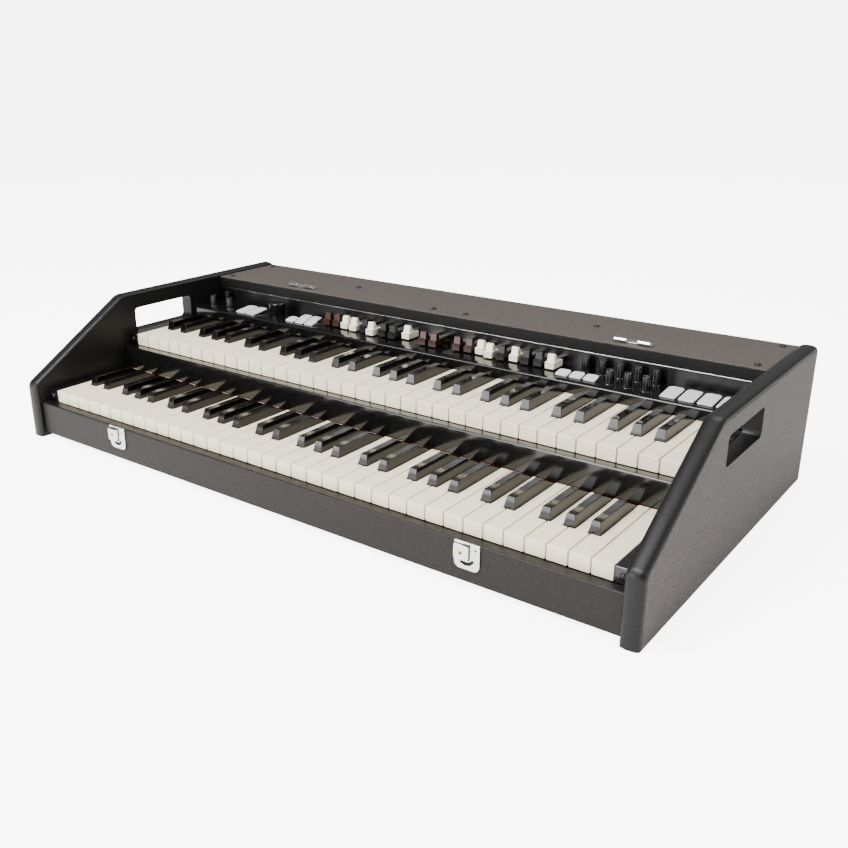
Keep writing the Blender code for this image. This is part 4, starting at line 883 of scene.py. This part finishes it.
# %% All drawbars
CAP_EDGE, STEM_EDGE = 0.0009, 0.0002
DRAWBAR_PITCH = 0.0177
MIDDLE_PLACE = 10.5
DRAWBAR_IN = PANEL_WALL - 0.0265
DRAWBAR_Z = PANEL_TOP + 0.0018
SET_COLOURS = ("brown", "brown", "white", "white", "black", "white", "black", "black", "white")
SETS = {
    "upper": (0, SET_COLOURS, (0.0052, 0.0053, 0.0073, 0.0097, 0.0070, 0.0149, 0.0090, 0.0110, 0.0008)),
    "pedal": (10, ("brown", "brown"), (0.0114, 0.0120)),
    "lower": (13, SET_COLOURS, (0.0075, 0.0055, 0.0047, 0.0115, 0.0110, 0.0068, 0.0090, 0.0073, 0.0082)),
}
for group, (first_place, colours, drawn) in SETS.items():
    for i, (colour, out) in enumerate(zip(colours, drawn)):
        x, y = (first_place + i - MIDDLE_PLACE) * DRAWBAR_PITCH, DRAWBAR_IN - out
        node = f"{group}_drawbar_{i + 1}"
        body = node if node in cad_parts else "case"
        cap = together(moved(foot, x, y, DRAWBAR_Z), moved(fin, x, y, DRAWBAR_Z))
        piece(f"{node}_cap", cap, CAPS[colour], body=body, replaces=[node] if body == node else (),
              edge=CAP_EDGE, segments=3)
        piece(f"{node}_stem", moved(stem, x, y, DRAWBAR_Z), STEEL, body=body, edge=STEM_EDGE)
print("drawbars:", sum(len(drawn) for _, _, drawn in SETS.values()))

# %% [markdown]
# The small knobs are tall and slightly tapered, with fine ribs for the fingers, and each stands
# on a thin steel washer. Their shaft goes down through the panel. Eleven are fixed here with
# the case, and the volume knob rides on its own body and turns.

# %% Small knobs
SHAFT_RADIUS, SHAFT_DOWN = 0.003, 0.009
KNOB_LIFT = 0.0006
KNOB_PITCH = 0.023
FRONT_KNOBS_Y, BACK_KNOBS_Y, LEFT_BACK_KNOB_Y = 0.077, 0.107, 0.108
SMALL_KNOBS = {
    "volume_knob": (-0.381, FRONT_KNOBS_Y),
    "left_knob_1": (-0.418, FRONT_KNOBS_Y),
    "left_knob_2": (-0.418, LEFT_BACK_KNOB_Y),
    **{f"back_knob_{i + 1}": (0.224 + KNOB_PITCH * i, BACK_KNOBS_Y) for i in range(5)},
    **{f"front_knob_{i + 1}": (0.270 + KNOB_PITCH * i, FRONT_KNOBS_Y) for i in range(3)},
}
shaft = [(0, -SHAFT_DOWN), (SHAFT_RADIUS, -SHAFT_DOWN), (SHAFT_RADIUS, 0)]
small_knob = turned(shaft + [(0.0054, 0), (0.0055, 0.0012), (0.0050, 0.0155), (0.0047, 0.0170),
                             (0.0040, 0.0175), (0, 0.0175)], 48, ribs=16, rib_depth=0.035)
washer_in, washer_out, washer_low, washer_high = 0.0033, 0.0062, 0.0001, 0.0004
washer = turned([(washer_in, washer_low), (washer_out, washer_low), (washer_out, washer_high),
                 (washer_in, washer_high), (washer_in, washer_low)], 24)
for name, (x, y) in SMALL_KNOBS.items():
    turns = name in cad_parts
    piece(f"{name}_cap", moved(small_knob, x, y, PANEL_TOP + KNOB_LIFT), KNOB,
          body=name if turns else "case", replaces=[name] if turns else ())
    piece(f"{name}_washer", moved(washer, x, y, PANEL_TOP), STEEL)
print("small knobs:", len(SMALL_KNOBS))

# %% [markdown]
# The large dial chooses the vibrato. It is wider at the top than at its foot, with a shallow
# ribbed rim, and its top is bare.

# %% Vibrato dial
large_knob = turned(shaft + [(0.0112, 0), (0.0116, 0.0010), (0.0120, 0.0125), (0.0127, 0.0135),
                             (0.0129, 0.0176), (0.0122, 0.0185), (0.0110, 0.0188), (0, 0.0185)],
                    96, ribs=32, rib_depth=0.008)
dial_low, dial_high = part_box("vibrato_knob")
dial = moved(large_knob, (dial_low[0] + dial_high[0]) / 2, (dial_low[1] + dial_high[1]) / 2,
             PANEL_TOP + KNOB_LIFT)
piece("vibrato_dial", dial, KNOB, body="vibrato_knob", replaces=["vibrato_knob"])
print("dial:", round((dial_high[0] - dial_low[0]) * 1000, 1), "mm across")

# %% [markdown]
# The rocker tabs are thin white paddles that tilt up towards the back, with large round back
# corners. Each is a flat slab first. Its points are then lifted along its depth, which gives
# the tilt and a slight crown, and a web under it goes into the panel.

# %% A rocker tab
TAB_THICK, TAB_LIFT = 0.0022, 0.0014
TAB_RISE, TAB_CROWN = 0.0028, 0.0007
TAB_FRONT_RADIUS, TAB_BACK_RADIUS = 0.0016, 0.0055
WEB_HALF_WIDE, WEB_HALF_LONG, WEB_HIGH = 0.004, 0.002, 0.004


def tab_mesh(width, depth):
    """A rocker tab on its web, with its front edge at the origin."""
    outline = box_outline(-width / 2, 0, width / 2, depth, TAB_FRONT_RADIUS, TAB_BACK_RADIUS)
    paddle = slab([outline], TAB_THICK, "XY", at=(0, 0, TAB_LIFT))
    for vertex in paddle.vertices:
        part = vertex.co.y / depth
        vertex.co.z += TAB_RISE * part + TAB_CROWN * math.sin(math.pi * part)
    web_outline = box_outline(-WEB_HALF_WIDE, -WEB_HALF_LONG, WEB_HALF_WIDE, WEB_HALF_LONG)
    web = slab([web_outline], WEB_HIGH, "XY", at=(0, depth / 2, 0))
    return together(paddle, web)


print("tabs rise by", TAB_RISE * 1000, "mm")

# %% [markdown]
# Six large tabs and eight small ones stand in groups beside the drawbars. The percussion tab
# has a solid of its own, so it rides on that body and rocks. The others are fixed.

# %% All rocker tabs
LARGE_TAB_Y, FRONT_TABS_Y, BACK_TABS_Y = 0.065, 0.069, 0.089
LARGE_TABS = {"percussion": 0.347, "large_1": -0.347, "large_2": -0.3265, "large_3": 0.369,
              "large_4": 0.391, "large_5": 0.413}
FRONT_TABS = (-0.2465, -0.2278, -0.2091, 0.209, 0.2277, 0.2464)
BACK_TABS = (-0.2372, -0.2185)
TAB_EDGE = 0.0006
LARGE_TAB_SIZE, SMALL_TAB_SIZE = (0.0186, 0.033), (0.0162, 0.0155)
large_tab = tab_mesh(*LARGE_TAB_SIZE)
small_tab = tab_mesh(*SMALL_TAB_SIZE)
for name, x in LARGE_TABS.items():
    node = f"{name}_tab"
    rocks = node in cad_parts
    piece(f"{name}_tab_cap", moved(large_tab, x, LARGE_TAB_Y, PANEL_TOP), TAB,
          body=node if rocks else "case", replaces=[node] if rocks else (), edge=TAB_EDGE, segments=3)
for row, y, places in (("front", FRONT_TABS_Y, FRONT_TABS), ("back", BACK_TABS_Y, BACK_TABS)):
    for i, x in enumerate(places):
        piece(f"{row}_tab_{i + 1}", moved(small_tab, x, y, PANEL_TOP), TAB, edge=TAB_EDGE, segments=3)
print("tabs:", len(LARGE_TABS) + len(FRONT_TABS) + len(BACK_TABS))

# %% [markdown]
# The lid is held by blackened screws with domed heads, placed alike on both halves. A screw is
# turned, with a small dimple in the middle for the driver.

# %% Lid screws
LID_SCREWS = ((0.0268, 0.133), (0.2005, 0.179), (0.425, 0.128), (0.4245, 0.223))
screw_head = turned([(0, 0.0002), (0.0040, 0.0002), (0.0040, 0.0008), (0.0033, 0.0018), (0.0020, 0.0023),
                     (0.0008, 0.0024), (0.0006, 0.0012), (0, 0.0012)], 24)
for i, (x, y) in enumerate(LID_SCREWS):
    for side, word in ((-1, "left"), (1, "right")):
        piece(f"lid_screw_{word}_{i + 1}", moved(screw_head, side * x, y, lid_high[2]), SCREW)
print("lid screws:", 2 * len(LID_SCREWS))

# %% [markdown]
# Glossy blocks fill the space between the last key of each manual and the end boards. Each is
# held by one screw in its front, which is the lid's screw turned to face the player.

# %% End blocks
BLOCK_ROUND, BLOCK_EDGE = 0.0015, 0.0004
BLOCK_SCREW_DOWN = 0.009
FACING_PLAYER = Matrix.Rotation(math.pi / 2, 4, "X")
for level in ("lower", "upper"):
    for word in ("left", "right"):
        node = f"{level}_end_block_{word}"
        low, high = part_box(node)
        front, top, x = KEY_FRONT[level], KEY_TOP[level], (low[0] + high[0]) / 2
        outline = rounded([(front, low[2], 0), (high[1], low[2], 0), (high[1], top, 0),
                           (front, top, BLOCK_ROUND)])
        block = slab([outline], high[0] - low[0], "YZ", at=(x, 0, 0))
        piece(f"{node}_body", block, GLOSS, replaces=[node], edge=BLOCK_EDGE)
        head = moved(screw_head, x, front, top - BLOCK_SCREW_DOWN, FACING_PLAYER)
        piece(f"{node}_screw", head, SCREW)
print("end blocks:", round((high[0] - low[0]) * 1000, 1), "mm wide")

# %% [markdown]
# Two chrome catches on the front rail hold the cover that goes over the keys. Each is a stamped
# plate with a curved slot, a pressed latch box with a brass screw, and a rivet. A dark plastic
# sheet a little larger than the box is a painted shadow: it makes the shadow line round it.

# %% Front catches
PLATE_HALF, PLATE_TALL, PLATE_THICK = 0.015, 0.030, 0.0016
PLATE_LOW_RADIUS, PLATE_TOP_RADIUS = 0.007, 0.001
LATCH_LEFT, LATCH_RIGHT, LATCH_LOW, LATCH_HIGH = -0.0138, 0.0030, -0.019, -0.003
LATCH_LOW_RADIUS, LATCH_TOP_RADIUS = 0.002, 0.0008
SHADOW_RIM_PROUD, SHADOW_RIM_THICK, SHADOW_RIM_IN = 0.0007, 0.0006, 0.0018
LATCH_SCREW, RIVET = (-0.0055, -0.011), (0.0090, -0.0075)
PLATE_EDGE, LATCH_EDGE = 0.0003, 0.0006
SLOT_X, SLOT_STEPS = -0.001, 8
SLOT_OUTER_ARC = (-0.0150, 0.0105, 228, 338)
SLOT_INNER_ARC = (-0.0128, 0.0088, 330, 236)
small_screw = turned([(0, -0.0008), (0.0022, -0.0008), (0.0022, 0.0002), (0.0016, 0.0009), (0.0009, 0.0010),
                      (0.0007, 0.0001), (0, 0.0001)], 20)
rivet_head = turned([(0, 0), (0.0026, 0), (0.0026, 0.0006), (0.0018, 0.0014), (0, 0.0016)], 20)


def latch_outline(x, top, proud):
    """The latch box's outline, grown on all sides."""
    return box_outline(x + LATCH_LEFT - proud, top + LATCH_LOW - proud, x + LATCH_RIGHT + proud,
                       top + LATCH_HIGH + proud, LATCH_LOW_RADIUS, LATCH_TOP_RADIUS)


def front_catch(node):
    """One catch of the cover, in place of its solid."""
    low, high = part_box(node)
    x, top, front, back = (low[0] + high[0]) / 2, high[2], low[1], high[1]
    plate_outline = box_outline(x - PLATE_HALF, top - PLATE_TALL, x + PLATE_HALF, top,
                                PLATE_LOW_RADIUS, PLATE_TOP_RADIUS)
    slot = []
    for drop, radius, start, stop in (SLOT_OUTER_ARC, SLOT_INNER_ARC):
        slot += arc((x + SLOT_X, top + drop), radius, start, stop, SLOT_STEPS)
    plate = slab([plate_outline, slot], PLATE_THICK, "XZ", at=(0, back - PLATE_THICK / 2, 0))
    piece(f"{node}_plate", plate, CHROME, replaces=[node], edge=PLATE_EDGE)
    deep = back - PLATE_THICK - front
    box = slab([latch_outline(x, top, 0)], deep, "XZ", at=(0, front + deep / 2, 0))
    piece(f"{node}_box", box, CHROME, edge=LATCH_EDGE, segments=3)
    # Painted shadow: a dark sheet round the latch box, standing in for its shadow line.
    painted_shadow_rim = slab([latch_outline(x, top, SHADOW_RIM_PROUD)], SHADOW_RIM_THICK, "XZ", at=(0, back - SHADOW_RIM_IN, 0))
    piece(f"{node}_gasket", painted_shadow_rim, PLASTIC)
    screw = moved(small_screw, x + LATCH_SCREW[0], front, top + LATCH_SCREW[1], FACING_PLAYER)
    piece(f"{node}_screw", screw, BRASS)
    rivet = moved(rivet_head, x + RIVET[0], back - PLATE_THICK, top + RIVET[1], FACING_PLAYER)
    piece(f"{node}_rivet", rivet, CHROME)


print("latch box:", round((LATCH_RIGHT - LATCH_LEFT) * 1000, 1), "mm wide")

# %% [markdown]
# The cover's back edge hooks into two chrome plates on the lid. Each plate ends in two rolled
# hooks, drawn from the side as a band that bends back over itself. Both kinds of catch are then
# made, side by side.

# %% Lid catches
HOOK_PLATE_THICK, HOOK_PLATE_FROM = 0.0014, 0.004
HOOK_FRONT_RADIUS, HOOK_BACK_RADIUS = 0.002, 0.003
HOOK_WIDE, HOOK_IN = 0.016, 0.0085
ROLL_Y, ROLL_Z, ROLL_OUTER, ROLL_INNER = 0.0035, 0.0032, 0.0028, 0.0016
ROLL_FOOT, ROLL_TIP = 0.0045, 0.0055


def lid_catch(node):
    """One hook plate of the lid, in place of its solid."""
    low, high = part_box(node)
    x, y, z = (low[0] + high[0]) / 2, low[1], low[2]
    half = (high[0] - low[0]) / 2
    plate_outline = box_outline(x - half, y + HOOK_PLATE_FROM, x + half, high[1],
                                HOOK_FRONT_RADIUS, HOOK_BACK_RADIUS)
    plate = slab([plate_outline], HOOK_PLATE_THICK, "XY", at=(0, 0, z + HOOK_PLATE_THICK / 2))
    roll = (y + ROLL_Y, z + ROLL_Z)
    band = [(y + ROLL_FOOT, roll[1] - ROLL_OUTER), (y + ROLL_FOOT, roll[1] - ROLL_INNER),
            *arc(roll, ROLL_OUTER, 270, 90, 8),
            (y + ROLL_TIP, roll[1] + ROLL_OUTER), (y + ROLL_TIP, roll[1] + ROLL_INNER),
            *arc(roll, ROLL_INNER, 90, 270, 8)]
    hooks = [slab([band], HOOK_WIDE, "YZ", at=(x + end * (half - HOOK_IN), 0, 0)) for end in (-1, 1)]
    piece(f"{node}_hooks", together(plate, *hooks), CHROME, replaces=[node], edge=0.0002)


for word in ("left", "right"):
    front_catch(f"front_catch_{word}")
    lid_catch(f"lid_catch_{word}")
